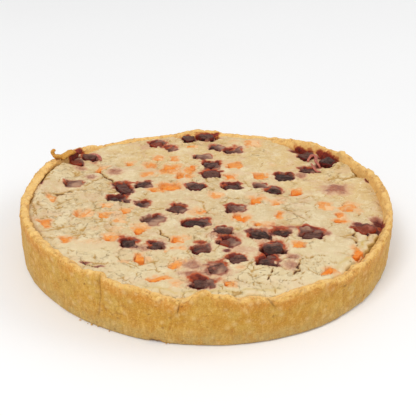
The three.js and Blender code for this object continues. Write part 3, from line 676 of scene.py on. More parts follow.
def diced(name, solids, looks, finish, slot, seed, stands_for=(), wear=1.0):
    """All pieces of one kind as one mesh. Its marks are the film's cover, the rusty tint, how near an
    edge and how far to the back a point lies, and a number of each piece's own."""
    shapes, marks = [], []
    for index, (solid, (cover, warm)) in enumerate(zip(solids, looks)):
        place, edge, back = cooked_piece(solid, SHAPE_SEED + 7 * index, wear)
        film = ease(-0.5, 0.4, covered(place[:, :2], solid, cover, seed + 5 + index))
        own = lattice(np.array([index, 3]), 77)
        level = np.ones(len(place))
        shapes.append(place)
        marks.append([film, warm * level, edge, back, own * level])
    marks = dict(zip(("film", "tint", "edge", "back", "own"), np.concatenate(marks, axis=1)))
    make_piece(name, *closed_shapes(shapes, DICE_SPOKES), finish, slot, stands_for, marks)


# ------------------------------------------------------------------ filling


def skin_height(x, y):
    """Level of the skin plus two sets of low waves, a bell over each hidden piece, and the rises
    towards the pastry."""
    height = FILLING_LEVEL + 0.5 * waves(x / 19, y / 17) + 0.35 * waves(x / 7, y / 8 + 1)
    for middle_x, middle_y, half_length, half_width, turn, rise in LUMPS:
        c, s = np.cos(np.radians(turn)), np.sin(np.radians(turn))
        along = ((x - middle_x) * c + (y - middle_y) * s) / half_length
        across = ((y - middle_y) * c - (x - middle_x) * s) / half_width
        height = height + rise * np.exp(-(along ** 2 + across ** 2))
    radius, angle = round_axis(x, y)
    near_edge = ease(EDGE_RISE_START, CASE_INSIDE, radius)
    for middle, half, rise in EDGE_RISES:
        height = height + rise * near_edge * bell(around(angle, middle), half)
    return height


def square_to_disc(steps):
    """A square grid from -1 to 1 bent to a disc: rows of the square become arcs, and cells stay
    about equal in size."""
    u, v = np.meshgrid(*2 * [np.linspace(-1, 1, steps + 1)], indexing="ij")
    wide = abs(u) > abs(v)
    radius, shorter = np.where(wide, u, v), np.where(wide, v, u)
    bend = np.pi / 4 * shorter / np.where(radius == 0, 1, radius)
    angle = np.where(wide, bend, np.pi / 2 - bend)
    return radius * np.cos(angle), radius * np.sin(angle)


def gap_width(degrees):
    """Width of the gap between filling and pastry: none, or a narrow uneven one, and wider at the
    named places."""
    ring = on_circle(124, degrees)
    gap = 0.9 * np.maximum(noise(ring, 14, 61) - 0.15, 0)
    for middle, half, width in EDGE_GAPS:
        gap = gap + width * ease(1.4, 0.5, abs(around(degrees, middle)) / half + 0.25 * noise(ring, 6, 62))
    return np.maximum(gap + 0.6 * noise(ring, 3.2, 63) * ease(0.2, 1.2, gap), 0)


def along_line(place, line):
    """For each place: distance to the nearest point of a line of points, its share of the line's
    length, and 1 on the left of the line or -1 on its right."""
    line = np.array(line, float)
    length = np.linalg.norm(np.diff(line, axis=0), axis=1)
    start = np.concatenate([[0], np.cumsum(length)])
    near, share, side = (np.full(place.shape[:-1], value) for value in (1e3, 0.0, 0.0))
    for k, step in enumerate(np.diff(line, axis=0)):
        to_place = place - line[k]
        t = np.clip(to_place @ step / length[k] ** 2, 0, 1)
        far = np.linalg.norm(to_place - t[..., None] * step, axis=-1)
        closer = far < near
        left = np.sign(step[0] * to_place[..., 1] - step[1] * to_place[..., 0])
        near, side = np.where(closer, far, near), np.where(closer, left, side)
        share = np.where(closer, (start[k] + t * length[k]) / start[-1], share)
    return near, share, side


def crack_field(flat):
    """Openness and darkness of the named cracks: a bell across each line, whose distance is measured
    from a place bent by noise, narrower towards both ends and broken here and there."""
    place = bent(flat, (5, 1.3, 71), (1.8, 0.8, 72))
    whole = 0.45 + 0.55 * ease(-0.5, 0.1, noise(flat, 3, 73))
    best, dark = np.zeros(flat.shape[:-1]), np.zeros(flat.shape[:-1])
    for darkness, width, *line in CRACKS:
        far, share, _ = along_line(place, line)
        half = 0.62 * width * (0.4 + 0.6 * np.sin(np.pi * np.clip(share, 0.08, 0.92)))
        opened = bell(far, half) * whole
        dark = np.where(opened > best, darkness, dark)
        best = np.maximum(best, opened)
    return best, dark


def ledge_field(flat):
    """Lift and shadow of the ledges. The skin on the left of each line is lifted and sinks back over
    several millimetres, less towards the line's ends, and the shadow is a bell at its foot."""
    place = bent(flat, (5, 1.2, 74), (1.8, 0.5, 75))
    lift, shadow = np.zeros(flat.shape[:-1]), np.zeros(flat.shape[:-1])
    for rise, *line in LEDGES:
        near, share, side = along_line(place, line)
        strength = np.sin(np.pi * share) ** 0.6
        lift = lift + rise * strength * ease(-0.35, 0.45, near * side) * bell(near, 6.5)
        shadow = np.maximum(shadow, strength * bell(near * side + 0.3, 0.55))
    return lift, shadow


def footprints(x, y, level, solids, looks, seed, bare_reach, reach_out, wild):
    """What the pieces do to the skin. Each piece's faces give the distance of a place from it, made
    ragged by noise, more where wild is larger. Bare parts sink below the piece's top, and filmed
    parts lie just over it, under a veil that thickens away from the bare part. The halo is full as
    far as bare_reach and fades over reach_out, both longer behind a piece than in front of it and
    given again for the back alone. In front lie the crevice, a shaded gap, and the curb, the skin's
    raised edge."""
    flat = np.stack([x, y], -1)
    ragged = wild * (1.3 * noise(flat, 4.2, seed) + 0.7 * noise(flat, 1.7, seed + 1))
    field = {name: np.zeros_like(x) for name in (
        "sink", "film", "top", "veil", "halo", "back", "crevice", "curb")}
    for index, (middle, normal, reach) in enumerate(solids):
        near = np.hypot(x - middle[0], y - middle[1]) < reach.max() + 12
        place = np.stack([x[near], y[near], level[near] - 0.9], -1) - middle
        slant = (place @ normal.T - reach).max(1)
        edge = slant + ragged[near]
        upward = normal[:, 2] > 0.3
        over = (reach[upward] - place[:, :2] @ normal[upward, :2].T) / normal[upward, 2]
        cover, warm = looks[index]
        cream = covered(flat[near], solids[index], cover, seed + 5 + index)
        patches = ease(-0.3, 0.3, cream + 0.35 * wild * ease(-3.2, -0.4, slant))
        filmed = ease(0.5, -0.6, edge) * patches
        more = filmed > field["film"][near]
        for name, value in {"top": middle[2] + over.min(1), "veil": ease(0, 1.2, cream)}.items():
            field[name][near] = np.where(more, value, field[name][near])
        behind = ease(-0.5, 0.9, place[:, 1] / np.linalg.norm(place[:, :2], axis=1).clip(0.1))
        juice = (0.5 + 0.55 * behind) * (0.7 + 0.7 * lattice(np.array([index, 5]), seed))
        beyond = np.maximum(edge - bare_reach * juice, 0) / (reach_out * juice)
        halo = np.exp(-beyond) * (0.75 + 0.25 * warm) * (1 - 0.3 * cover)
        bare_front = (1 - 0.8 * patches) * (1 - behind)
        for name, value in {
            "sink": ease(0.7, -0.3, edge) * (1 - patches), "film": filmed, "halo": halo,
            "back": halo * behind,
            "crevice": bell(edge - 0.5, 0.4) * bare_front,
            "curb": bell(edge - 1.6, 0.8) * bare_front,
        }.items():
            field[name][near] = np.maximum(field[name][near], value)
    field["cream"] = field["film"] * (1 - field["sink"])
    return field


def wrinkled_skin(flat):
    """Relief of the bare skin in millimetres, how deep and how dark its creases are, and how worn it
    is, more to the left, right and front. Plates of two sizes are cells of scattered points in bent
    places. Each plate is puffed up, falls off smoothly to creases along its edges and lies a little
    higher or lower than the next. Most creases fade out, and soft lumps and small pits lie over it."""
    near, second, mark = scatter(bent(flat, (11, 4.5, 81), (3, 1.5, 82)), 15, 83)
    x, y = flat[..., 0], flat[..., 1]
    outer = 0.4 * ease(-30, -85, x) + 0.35 * ease(-45, -95, y) + 0.25 * ease(60, 100, x)
    outer = outer - 0.5 * ease(50, 100, y)
    patchy = ease(-0.1, 0.5, noise(flat, 22, 84) + 0.6 * noise(flat, 7, 85) + outer)
    puffed = ease(0, 0.25, second - near)
    network = ease(0.08, 0.0, second - near) * patchy * ease(-0.3, 0.3, noise(flat, 5, 90))
    small_near, small_second, small_mark = scatter(bent(flat, (5, 2.5, 86), (2, 1, 79)), 6.5, 87)
    small_patchy = ease(0.15, 0.8, noise(flat, 15, 88) + 0.6 * noise(flat, 5, 89))
    small_puffed = ease(0, 0.4, small_second - small_near)
    small = ease(0.13, 0.0, small_second - small_near) * small_patchy
    pit_near, _, pit_mark = scatter(flat, 3.1, 76)
    pits = bell(pit_near, 0.18) * (pit_mark < 0.12)
    height = 0.55 * rough(flat, 9, 91, 3)
    height = height + 0.4 * (mark - 0.5) * patchy + 0.2 * (small_mark - 0.5) * small_patchy
    height = height - 0.4 * (1 - puffed) * patchy - 0.25 * (1 - small_puffed) * small_patchy
    height = height - 0.5 * network - 0.15 * small - 0.25 * pits
    creases = np.maximum(0.8 * network, np.maximum(0.5 * small, 0.25 * pits))
    return height + 0.15, creases, network * mark, patchy


def filling_grid():
    """The skin's smooth form on a square grid bent to a disc: angles, x and y, level, distance from
    its edge, width of the gap beyond the edge, and how far the edge is drawn back. It meets the
    pastry's inner side, or stops short of it by the gap."""
    share, degrees = round_axis(*square_to_disc(FILLING_STEPS))
    lines = case_lines(degrees)
    at_case = np.moveaxis(on_circle(CASE_INSIDE, degrees), -1, 0)
    edge_level = np.minimum(skin_height(*at_case) - 0.3, lines[0] - 1.2)
    gap = gap_width(degrees)
    drawn_back = ease(0.05, 0.6, gap)
    outer = inner_radius(lines, edge_level) + 0.5 - gap - 0.5 * drawn_back
    even_radius = FILLING_RADIUS - 1.2
    reach = even_radius * share + (outer - even_radius) * ease(0.82, 1, share)
    x, y = np.moveaxis(on_circle(reach[..., None], degrees), -1, 0)
    from_edge = outer - reach
    level = skin_height(x, y)
    level = level + (edge_level - level) * ease(6, 0.2, from_edge)
    return degrees, x, y, level, from_edge, gap, drawn_back


def border_of(side):
    """Numbers of the points along the four sides of a square grid, in order round it."""
    up, down = np.arange(side - 1), np.arange(side - 1, 0, -1)
    return np.concatenate([up * side, (side - 1) * side + up, down * side + side - 1, down])


def filling_skin(beetroot, carrot, bits):
    """The skin's points on its grid, width of the gap and marks. Its height is its level plus
    wrinkles and ledges, less cracks, footprints of the pieces, hollows and its drawn-in edge."""
    degrees, x, y, level, from_edge, gap, drawn_back = filling_grid()
    flat = np.stack([x, y], -1)
    relief, creases, dark_creases, worn = wrinkled_skin(flat)
    cracks, dark = crack_field(flat)
    lift, shadow = ledge_field(flat)
    height = level + relief + lift - CRACK_DEPTH * cracks * (0.4 + 0.6 * dark) - 0.6 * shadow

    beet = footprints(x, y, level, beetroot, BEETROOT_LOOK, BEETROOT_SEED,
                      bare_reach=1.1, reach_out=1.7, wild=1.3)
    dice = footprints(x, y, level, carrot, CARROT_LOOK, CARROT_SEED,
                      bare_reach=0.9, reach_out=2.6, wild=1.7)
    bit = footprints(x, y, level, bits, BIT_LOOK, BIT_SEED, bare_reach=0.8, reach_out=2.2, wild=1.4)
    orange = {name: np.maximum(dice[name], bit[name]) for name in dice}
    for field in (beet, dice, bit):
        lifted = np.maximum(height, field["top"] + FILM_THICKNESS + 0.7 * relief)
        height = np.where(field["film"] > 0.02, height + (lifted - height) * field["film"], height)
    height = height - 0.35 * beet["crevice"] - 0.1 * orange["crevice"]
    height = height - np.maximum(BEETROOT_SINK * beet["sink"], CARROT_SINK * orange["sink"])
    height = height + 0.55 * beet["curb"] + 0.3 * orange["curb"]
    ragged = 0.3 * noise(flat, 5, 97)
    hollow = np.max([ease(1.2, 0.6, abs(around(degrees, middle)) / (half + 1.5) + ragged)
                     for middle, half in HOLLOWS], axis=0)
    hollow = hollow * ease(13, 3, from_edge + 2.5 * noise(flat, 4, 98))
    height = height - HOLLOW_DEPTH * hollow * (1 - beet["film"])
    edge = np.exp(-np.maximum(from_edge - 0.3, 0) / 0.8) * (0.45 + 0.55 * drawn_back)
    height = height - 0.9 * edge + 0.4 * ease(8, 2.5, from_edge) * noise(flat, 6, 99)

    rolled = np.max([ease(half + 7, half, abs(around(degrees, middle)))
                     for middle, half in ROLLED_EDGES], axis=0)
    juice = np.maximum(beet["halo"] * (0.8 + 0.3 * noise(flat, 2.2, 101)), 0.95 * hollow)
    return np.stack([x, y, height], -1), gap, {
        "beet": np.maximum(juice, ellipses(x, y, BEETROOT_SHADES, 102)),
        "rust": np.maximum(beet["back"] * ease(-0.5, 0.2, noise(flat, 5, 103)),
                           ellipses(x, y, RUST_SHADES, 108)),
        "carrot": np.maximum(orange["halo"] * (0.8 + 0.25 * noise(flat, 2.2, 104)),
                             ellipses(x, y, CARROT_SHADES, 105)),
        "beet_film": beet["cream"], "carrot_film": orange["cream"], "veil": beet["veil"],
        "carrot_veil": np.where(dice["film"] > bit["film"], dice["veil"], bit["veil"]),
        # This mark holds the cracks and creases and the painted shadow at the foot of each ledge.
        "crack": np.maximum(np.maximum(cracks, 0.9 * shadow), creases),
        # dark: painted shade in the cores of cracks and creases and in the crevice in front of bare
        # beetroot
        "dark": np.maximum(dark * cracks ** 2, np.maximum(0.38 * dark_creases, 0.9 * beet["crevice"])),
        # low and high follow the relief, for painted shade in the skin's hollows and painted highlight on
        # its rises
        "low": ease(0.05, -0.65, relief), "high": ease(0.1, 0.6, relief), "worn": worn,
        "far": ease(20, 100, y + 0.6 * np.maximum(x, 0) + 25 * noise(flat, 30, 106)),
        "near": ease(-40, -90, y + 25 * noise(flat, 30, 107)),
        "olive": rolled * bell(from_edge - 4.6 - 1.2 * noise(flat, 6, 100), 1.5),
        "edge": edge, "sunk": beet["sink"], "sunk_orange": orange["sink"],
    }


def cream_filling(finish, beetroot, carrot, bits):
    """The filling: a square grid bent to a disc carries the skin, and rings below its edge close it.
    They go down into the gap, out to the pastry and in along the case's floor."""
    skin, gap, marks = filling_skin(beetroot, carrot, bits)
    place = skin.reshape(-1, 3)
    side = FILLING_STEPS + 1
    ring_at = border_of(side)
    count, start = len(ring_at), len(place)
    border = place[ring_at]
    bound, turn = round_axis(border[:, 0], border[:, 1])
    wobble = 0.2 * noise(border, 2.2, 110)
    groove = 0.6 + 1.5 * ease(0.2, 1.8, gap.ravel()[ring_at])
    foot = border[:, 2] - groove - 0.25
    wall = np.maximum(bound, inner_radius(case_lines(turn), foot)) + 0.8
    rings = [
        (bound + 0.3 + wobble, border[:, 2] - 0.35 * groove),
        (bound + 0.45 + wobble, border[:, 2] - 0.8 * groove),
        (bound + 0.6, border[:, 2] - groove), (wall, foot), (wall - 0.6, foot - 2),
        (np.full(count, FILLING_RADIUS - 3), np.full(count, 7)),
        (np.full(count, FILLING_RADIUS - 6), np.full(count, FILLING_BASE)),
    ]
    below = [np.column_stack([on_circle(radius[:, None], turn), level]) for radius, level in rings]
    points = np.concatenate([place, *below, [[0, 0, FILLING_BASE]]])
    low, high = np.meshgrid(np.arange(side - 1), np.arange(side - 1), indexing="ij")
    corner = low * side + high
    faces = np.stack([corner, corner + side, corner + side + 1, corner + 1], -1).reshape(-1, 4).tolist()
    first = start + np.arange(count)
    faces += np.stack([ring_at, first, np.roll(first, -1), np.roll(ring_at, -1)], -1).tolist()
    faces += ring_quads(len(rings), count, start, True)
    faces += fan(len(points) - 1, first + (len(rings) - 1) * count, False)
    for mark, values in marks.items():
        at_border = np.ones(count) if mark == "edge" else values.ravel()[ring_at] * (mark[:4] != "sunk")
        marks[mark] = np.concatenate([values.ravel(), np.tile(at_border, len(rings)), [0]])
    make_piece("cream_filling", points, faces, finish, "filling", ["filling"], marks)


# ------------------------------------------------------------------ strands, curl and crumbs


def tube(path, radius, flatten, seed):
    """A strand: a ring carried along a smooth path, flattened, swelling and thinning by noise, with
    closed ends. The path is a row of corners rounded by cutting them."""
    path = round_corners(np.array(path, float), 3)
    ahead = unit(np.gradient(path, axis=0))
    beside = unit(np.cross(ahead, [0.2, 0.1, 1.0]))
    above = np.cross(beside, ahead)
    turn = 2 * np.pi * np.arange(TUBE_SIDES) / TUBE_SIDES
    share = np.linspace(0, 1, len(path))
    size = radius * (0.35 + 0.65 * np.sin(np.pi * np.clip(share, 0.05, 0.95)) ** 0.6)
    ring = path[:, None] + size[:, None, None] * (
        beside[:, None] * np.cos(turn)[:, None] + flatten * above[:, None] * np.sin(turn)[:, None])
    ring = ring + 0.3 * noise(ring, 2.2, seed)[..., None] * (ring - path[:, None])
    return np.concatenate([ring.reshape(-1, 3), path[:1], path[-1:]])


def tubes(name, rows, finish, slot, seed, marks=None):
    """Several strands as one mesh: rows of path, radius and flatness. A mark has one value for all."""
    shapes = [tube(*row, seed + index) for index, row in enumerate(rows)]
    make_piece(name, *closed_shapes(shapes, TUBE_SIDES, True), finish, slot, marks=marks)


def crumbs(name, rows, finish, slot, marks):
    """Small flakes: spheres pressed to the row's three half sizes and dented. A row is x, y, z and
    the half sizes."""
    way = ball(CRUMB_ROWS, CRUMB_SPOKES)
    dents = [1 + 0.4 * noise(way, 0.9, CRUMB_SEED + index)[:, None] for index in range(len(rows))]
    shapes = [np.array(row[:3]) + way * np.array(row[3:]) * dent for row, dent in zip(rows, dents)]
    place, faces = closed_shapes(shapes, CRUMB_SPOKES)
    place[:, 2] = np.maximum(place[:, 2], 0)
    make_piece(name, place, faces, finish, slot, marks=marks)


# ------------------------------------------------------------------ finishes


def tone(red, green, blue):
    """A colour given as a screen shows it, 0 to 255, turned into light values."""
    shown = np.array([red, green, blue]) / 255
    light = np.where(shown <= 0.04045, shown / 12.92, ((shown + 0.055) / 1.055) ** 2.4)
    return (*light.tolist(), 1.0)


def operator(operation):
    """Both forms of a Signal's operator: with the signal first, and reflected."""
    def forward(signal, other):
        return signal.finish.node("Math", {"operation": operation}, {0: signal, 1: other})

    def reflected(signal, other):
        return signal.finish.node("Math", {"operation": operation}, {0: other, 1: signal})

    return forward, reflected


class Signal:
    """A number that varies over a finish. Sums of signals and plain numbers add Math nodes."""

    def __init__(self, finish, socket):
        self.finish, self.socket = finish, socket

    __add__, __radd__ = operator("ADD")
    __sub__, __rsub__ = operator("SUBTRACT")
    __mul__, __rmul__ = operator("MULTIPLY")


class Finish:
    """The material of one kind of surface."""

    def __init__(self, name, **fixed):
        self.material = bpy.data.materials.new(name)
        self.material.use_nodes = True
        self.tree = self.material.node_tree
        self.shader = self.tree.nodes["Principled BSDF"]
        self.set(**fixed)
        self.place = self.node("TexCoord", output="Object")

    def node(self, kind, settings=None, inputs=None, output=0):
        """Adds a node of that type, makes its settings, then feeds its sockets with values or signals."""
        made = self.tree.nodes.new("ShaderNode" + kind)
        for setting, value in (settings or {}).items():
            setattr(made, setting, value)
        for socket, value in (inputs or {}).items():
            self.feed(made.inputs[socket], value)
        return Signal(self, made.outputs[output])

    def feed(self, socket, value):
        """Gives a socket a signal or a fixed value."""
        if isinstance(value, Signal):
            self.tree.links.new(value.socket, socket)
        else:
            socket.default_value = value

    def set(self, **sockets):
        """Feeds sockets of the shader, with underscores for the spaces in their names."""
        for socket, value in sockets.items():
            self.feed(self.shader.inputs[socket.replace("_", " ")], value)

    def mark(self, name):
        """A mark that the mesh carries."""
        return self.node("Attribute", {"attribute_name": name}, output="Fac")

    def between(self, low, high, value):
        """0 to 1 as the value goes from low to high, smoothly."""
        return self.node("MapRange", {"interpolation_type": "SMOOTHSTEP"},
                         {"Value": value, "From Min": low, "From Max": high})

    def noise(self, size, detail, bend=0.0, stretch=(1, 1, 1)):
        """Noise about 0.5 with lumps of that size in millimetres."""
        place = self.node("Mapping", {"vector_type": "POINT"}, {"Vector": self.place, "Scale": stretch})
        return self.node("TexNoise", None, {"Vector": place, "Scale": 1 / (size * MM), "Detail": detail,
                                            "Roughness": 0.6, "Distortion": bend})

    def lines(self, size, bend):
        """Distance to the edges of cells of that size, whose places are bent by noise."""
        warp = self.node("TexNoise", None, {
            "Vector": self.place, "Scale": 0.7 / (size * MM), "Detail": 2.0}, "Color")
        pulled = self.node("VectorMath", {"operation": "MULTIPLY_ADD"}, {
            0: warp, 1: (bend * size * MM,) * 3, 2: self.place})
        return self.node("TexVoronoi", {"feature": "DISTANCE_TO_EDGE"}, {
            "Vector": pulled, "Scale": 1 / (size * MM)})

    def mix(self, share, first, second):
        """The first colour where the share is 0 and the second where it is 1."""
        return self.node("Mix", {"data_type": "RGBA"}, {0: share, 6: first, 7: second}, 2)

    def coats(self, colour, *rows):
        """The colour under coats laid on in turn. A row is the coat's share, and its tone as three
        numbers or a colour that varies."""
        for share, *shown in rows:
            colour = self.mix(share, colour, shown[0] if len(shown) == 1 else tone(*shown))
        return colour

    def finish(self, colour, roughness, height, depth, **more):
        """Ties colour, roughness and relief to the shader. The height's full range is depth millimetres."""
        bump = self.node("Bump", None, {"Strength": 1.0, "Distance": depth * MM, "Height": height})
        self.set(Base_Color=colour, Roughness=roughness, Normal=bump, **more)
        return self.material


def pastry_finish():
    """Baked shortcrust: golden with amber and pale patches, browner in a band under the crest, pale
    and crumbly along it, duller towards the foot, and red-brown where beetroot has stained it. Its
    inner side is paler partly as painted light; painted shade lies in its pits and between its
    crumbs, and painted highlight on the crumbs' tops."""
    f = Finish("baked_pastry", Specular_IOR_Level=0.3)
    rise, below, inside, crumb = (f.mark(name) for name in ("rise", "below_crest", "inside", "crumb"))
    broad, patch, fine, grain = f.noise(24, 4, 0.6), f.noise(7, 5, 0.8), f.noise(2.2, 6), f.noise(0.9, 3)
    zone, speck, streak = f.noise(17, 2, 0.5), f.noise(1.8, 3, 0.5), f.noise(1.7, 3, 0.3, (1, 1, 0.3))
    outer, lip = 1 - inside, f.between(4, 0.6, below)
    band = f.between(11, 3.5, below) * f.between(0.6, 2.2, below) * outer
    # inner is paler than the outer wall: partly the inner side's own lighter bake, partly painted light
    # that lifts its shading.
    inner = f.mix(f.between(0.4, 0.65, patch), tone(238, 182, 100), tone(248, 202, 124))
    stain = f.mark("stain") + (fine - 0.5) * 0.5 + (patch - 0.5) * 0.3
    juice = f.mix(f.between(0.4, 0.6, fine), tone(154, 48, 22), tone(120, 30, 16))
    colour = f.coats(
        tone(212, 159, 60),
        (f.between(0.38, 0.62, broad), 203, 146, 42),
        (f.between(0.52, 0.68, patch) * 0.45, 230, 190, 104),
        (f.between(0.5, 0.36, patch) * 0.35, 186, 126, 46),
        (f.between(0.48, 0.6, zone) * outer * 0.4, 210, 174, 84),
        (f.between(0.46, 0.04, rise) * outer * f.between(0.25, 0.6, patch) * 0.9, 194, 163, 98),
        (band * f.between(0.36, 0.58, broad) * 0.75, 214, 140, 46),
        (inside * 0.85, inner),
        (lip * f.between(0.3, 0.62, fine) * 0.7, 248, 192, 104),
        (lip * f.between(0.5, 0.62, speck) * 0.6, 216, 136, 54),
        # Crumbs on the lip: browner in their pits and paler on their tops, partly their own colour and
        # partly painted shade and painted highlight.
        (lip * f.between(0.42, 0.1, crumb) * 0.75, 176, 106, 42),
        (lip * f.between(0.58, 0.8, crumb) * 0.7, 255, 210, 126),
        (lip * f.between(0.6, 0.68, grain) * 0.6, 150, 90, 38),
        (f.between(0.55, 0.66, grain) * 0.45, 174, 114, 44),
        (f.between(0.45, 0.32, grain) * 0.45, 246, 208, 130),
        (f.between(0.58, 0.7, fine) * 0.5, 174, 114, 44),
        (f.between(0.42, 0.3, fine) * 0.4, 240, 195, 108),
        (f.between(1.5, 0.3, below) * f.between(0.4, 0.56, patch) * 0.6, 255, 212, 132),
        # Painted light: the inner side lifted once more.
        (inside * 0.3, 250, 206, 134),
        (f.mark("blister") * 0.5, 242, 210, 150),
        (f.between(0.55, 0.67, streak) * outer * 0.35, 180, 118, 42),
        (f.between(0.45, 0.34, streak) * outer * 0.35, 238, 196, 112),
        (f.between(0.2, 0.95, f.mark("groove")) * 0.5, 156, 104, 46),
        # Painted shade in the small pits.
        (f.mark("pit") * 0.8, 120, 66, 26),
        (f.between(0.08, 0.4, stain) * 0.85, 196, 104, 42),
        (f.between(0.3, 0.62, stain), juice),
        (f.between(0.85, 1.15, stain), 78, 28, 18),
        (f.mark("scorch"), 96, 50, 20))
    roughness = 0.62 + (fine - 0.5) * 0.25 - f.between(0.4, 0.75, stain) * 0.22
    return f.finish(colour, roughness, fine * 0.6 + grain * 0.5 + patch * 0.5, 1.3)


def filling_finish():
    """Set cream: pale beige with olive-brown cracks and creases, dark red beside bare beetroot and
    purple over hidden beetroot, orange beside carrot, and a satin skin. Shade is painted into its
    hollows, the cores of cracks and creases, the ledges' feet, the crevices in front of bare beetroot
    and in part the edge facing the gap; highlight is painted on its rises and in part its pale flecks."""
    f = Finish("set_cream", Specular_IOR_Level=0.25, Coat_Roughness=0.3)
    broad, patch = f.noise(30, 4, 0.5), f.noise(6, 5, 1.2)
    fine, grain = f.noise(2.0, 6, 0.8), f.noise(0.8, 3)
    blush, dashes = f.noise(15, 3, 0.6), f.noise(3.2, 3, 0.5)
    edge, juice = f.mark("edge"), f.mark("beet")
    worn = f.mark("worn") + (patch - 0.5) * 1.6
    creases = f.between(0.08, 0, f.lines(6, 2.2)) * f.between(0.2, 0.8, worn) * f.between(0.48, 0.6, dashes)
    split = f.between(0.05, 0.01, f.lines(9, 2)) * f.between(0.3, 0.9, worn) * f.between(0.6, 0.68, dashes)
    speckled = f.between(0.42, 0.6, fine)
    carrot = f.mark("carrot") + (fine - 0.5) * 0.5 + (patch - 0.5) * 0.3
    orange = f.mix(speckled, tone(238, 138, 48), tone(236, 168, 92))
    veil = f.between(0.35, 0.85, f.mark("carrot_veil") + (patch - 0.5) * 0.6)
    over_carrot = f.coats(tone(238, 138, 46), (speckled, 238, 172, 98), (veil, 246, 198, 144))
    beet = juice + (fine - 0.5) * 0.4
    purple = f.mix(f.between(0.4, 0.6, patch), tone(164, 88, 62), tone(148, 84, 70))
    maroon = f.mix(f.between(0.42, 0.58, fine), tone(124, 46, 34), tone(84, 28, 24))
    rust = f.mark("rust") + (fine - 0.5) * 0.5
    beet_film = f.mark("beet_film") * (0.7 + fine * 0.5)
    over_beet = f.mix(f.mark("veil") + (patch - 0.5) * 0.8, tone(118, 78, 64), tone(184, 140, 112))
    shade = f.mix(f.between(0.2, 0.5, juice), tone(104, 60, 30), tone(58, 22, 16))
    colour = f.coats(
        tone(224, 201, 155),
        (f.between(0.36, 0.64, broad), 219, 192, 143),
        (f.mark("far") * 0.65, 228, 192, 124),
        (f.between(0.5, 0.68, patch) * 0.6, 242, 222, 180),
        (f.between(0.48, 0.34, patch) * 0.5, 214, 178, 124),
        # Painted shade in the skin's hollows and painted highlight on its rises.
        (f.mark("low") * 0.7, 202, 162, 98),
        (f.mark("high") * 0.45, 248, 232, 194),
        (f.between(0.6, 0.7, fine) * 0.45, 192, 148, 90),
        # The palest flecks of fine and grain are partly the cream's own grain and partly painted glints.
        (f.between(0.42, 0.32, fine) * 0.5, 255, 244, 218),
        (f.between(0.56, 0.7, grain) * 0.3, 198, 160, 106),
        (f.between(0.44, 0.32, grain) * 0.3, 252, 238, 208),
        (f.between(0.5, 0.64, blush) * 0.4, 224, 184, 148),
        # Towards and down the skin's edge, where it faces into the gap: partly the edge's own olive colour,
        # partly painted shade.
        (f.between(0.15, 0.5, edge) * 0.6, 218, 176, 104),
        (f.between(0.5, 0.9, edge) * 0.85, 180, 140, 62),
        (f.mark("olive") * f.between(0.3, 0.5, patch), 206, 168, 78),
        (f.mark("near") * 0.4, 238, 220, 176),
        (creases * 0.45, 198, 160, 98),
        (split * 0.6, 160, 120, 68),
        # Olive-tan cracks and creases, and painted shadow at the foot of the ledges.
        (f.between(0.1, 0.6, f.mark("crack")) * 0.8, 192, 146, 72),
        (f.between(0.08, 0.5, carrot) * 0.75, 238, 184, 130),
        (f.between(0.42, 0.85, carrot) * 0.9, orange),
        (f.mark("carrot_film") * 0.85, over_carrot),
        (f.between(0.04, 0.36, beet) * 0.75, 214, 162, 128),
        (f.between(0.28, 0.54, beet) * 0.85, purple),
        (f.between(0.52, 0.78, beet) * 0.95, maroon),
        (f.between(0.06, 0.3, rust) * 0.6, 206, 122, 74),
        (f.between(0.2, 0.42, rust) * 0.9, 182, 72, 28),
        (f.between(0.44, 0.76, rust + (patch - 0.5) * 0.7) * 0.9, 104, 32, 20),
        (f.between(0.15, 0.8, beet_film), over_beet),
        # Painted shade: dark cores of cracks and creases, and the shaded crevice in front of bare beetroot.
        (f.between(0.26, 0.66, f.mark("dark")) * 0.92, shade),
        (f.mark("sunk_orange") * 0.9, 226, 132, 50),
        (f.mark("sunk"), 74, 22, 16))
    height = fine * 0.5 + grain * 0.2 + patch * 0.6 - creases * 0.4 - split * 0.4
    gloss = f.between(0.5, 0.75, fine) * 0.15
    return f.finish(colour, 0.46 + (fine - 0.5) * 0.3, height, 1.2, Coat_Weight=gloss)


def beetroot_finish():
    """Roasted beetroot: charcoal on top, maroon and ragged along its edges, rusty at the back, and
    purple-grey where the filling's film lies on it."""
    f = Finish("roasted_beetroot", Specular_IOR_Level=0.14, Coat_Roughness=0.2)
    film, tint, edge, back, own = (f.mark(name) for name in ("film", "tint", "edge", "back", "own"))
    patch, fine, streak = f.noise(4.5, 4, 0.8), f.noise(1.6, 3), f.noise(1.4, 3, 0.5, (0.35, 1.4, 1))
    rust = tint + (patch - 0.5) * 1.2
    rim = edge + (fine - 0.5) * 0.6 + (patch - 0.5) * 0.9
    front = f.coats(tone(108, 34, 26), (f.between(0.42, 0.6, streak), 54, 19, 16),
                    (f.between(0.55, 0.9, tint), 158, 56, 26))
    behind = f.mix(f.between(0.42, 0.6, fine), tone(142, 47, 24), tone(80, 25, 18))
    colour = f.coats(
        tone(66, 42, 35),
        (f.between(0.35, 0.65, patch + (own - 0.5) * 0.4), 106, 66, 54),
        (f.between(0.54, 0.66, streak) * 0.55, 128, 94, 80),
        (f.between(0.46, 0.36, streak) * 0.8, 32, 20, 18),
        (f.between(0.4, 0.85, film + (fine - 0.5) * 0.6) * 0.75, 148, 104, 86),
        (f.between(0.4, 0.9, rust) * 0.8, 146, 62, 38),
        (f.between(1.0, 1.4, rust) * 0.6, 194, 112, 82),
        (f.between(0.48, 0.82, rim), f.mix(f.between(0.25, 0.75, back), front, behind)))
    gloss = f.between(0.54, 0.66, patch) * 0.35
    height = fine * 0.7 + streak * 0.9 + patch * 0.6
    return f.finish(colour, 0.42 + (fine - 0.5) * 0.4, height, 1.3, Coat_Weight=gloss)


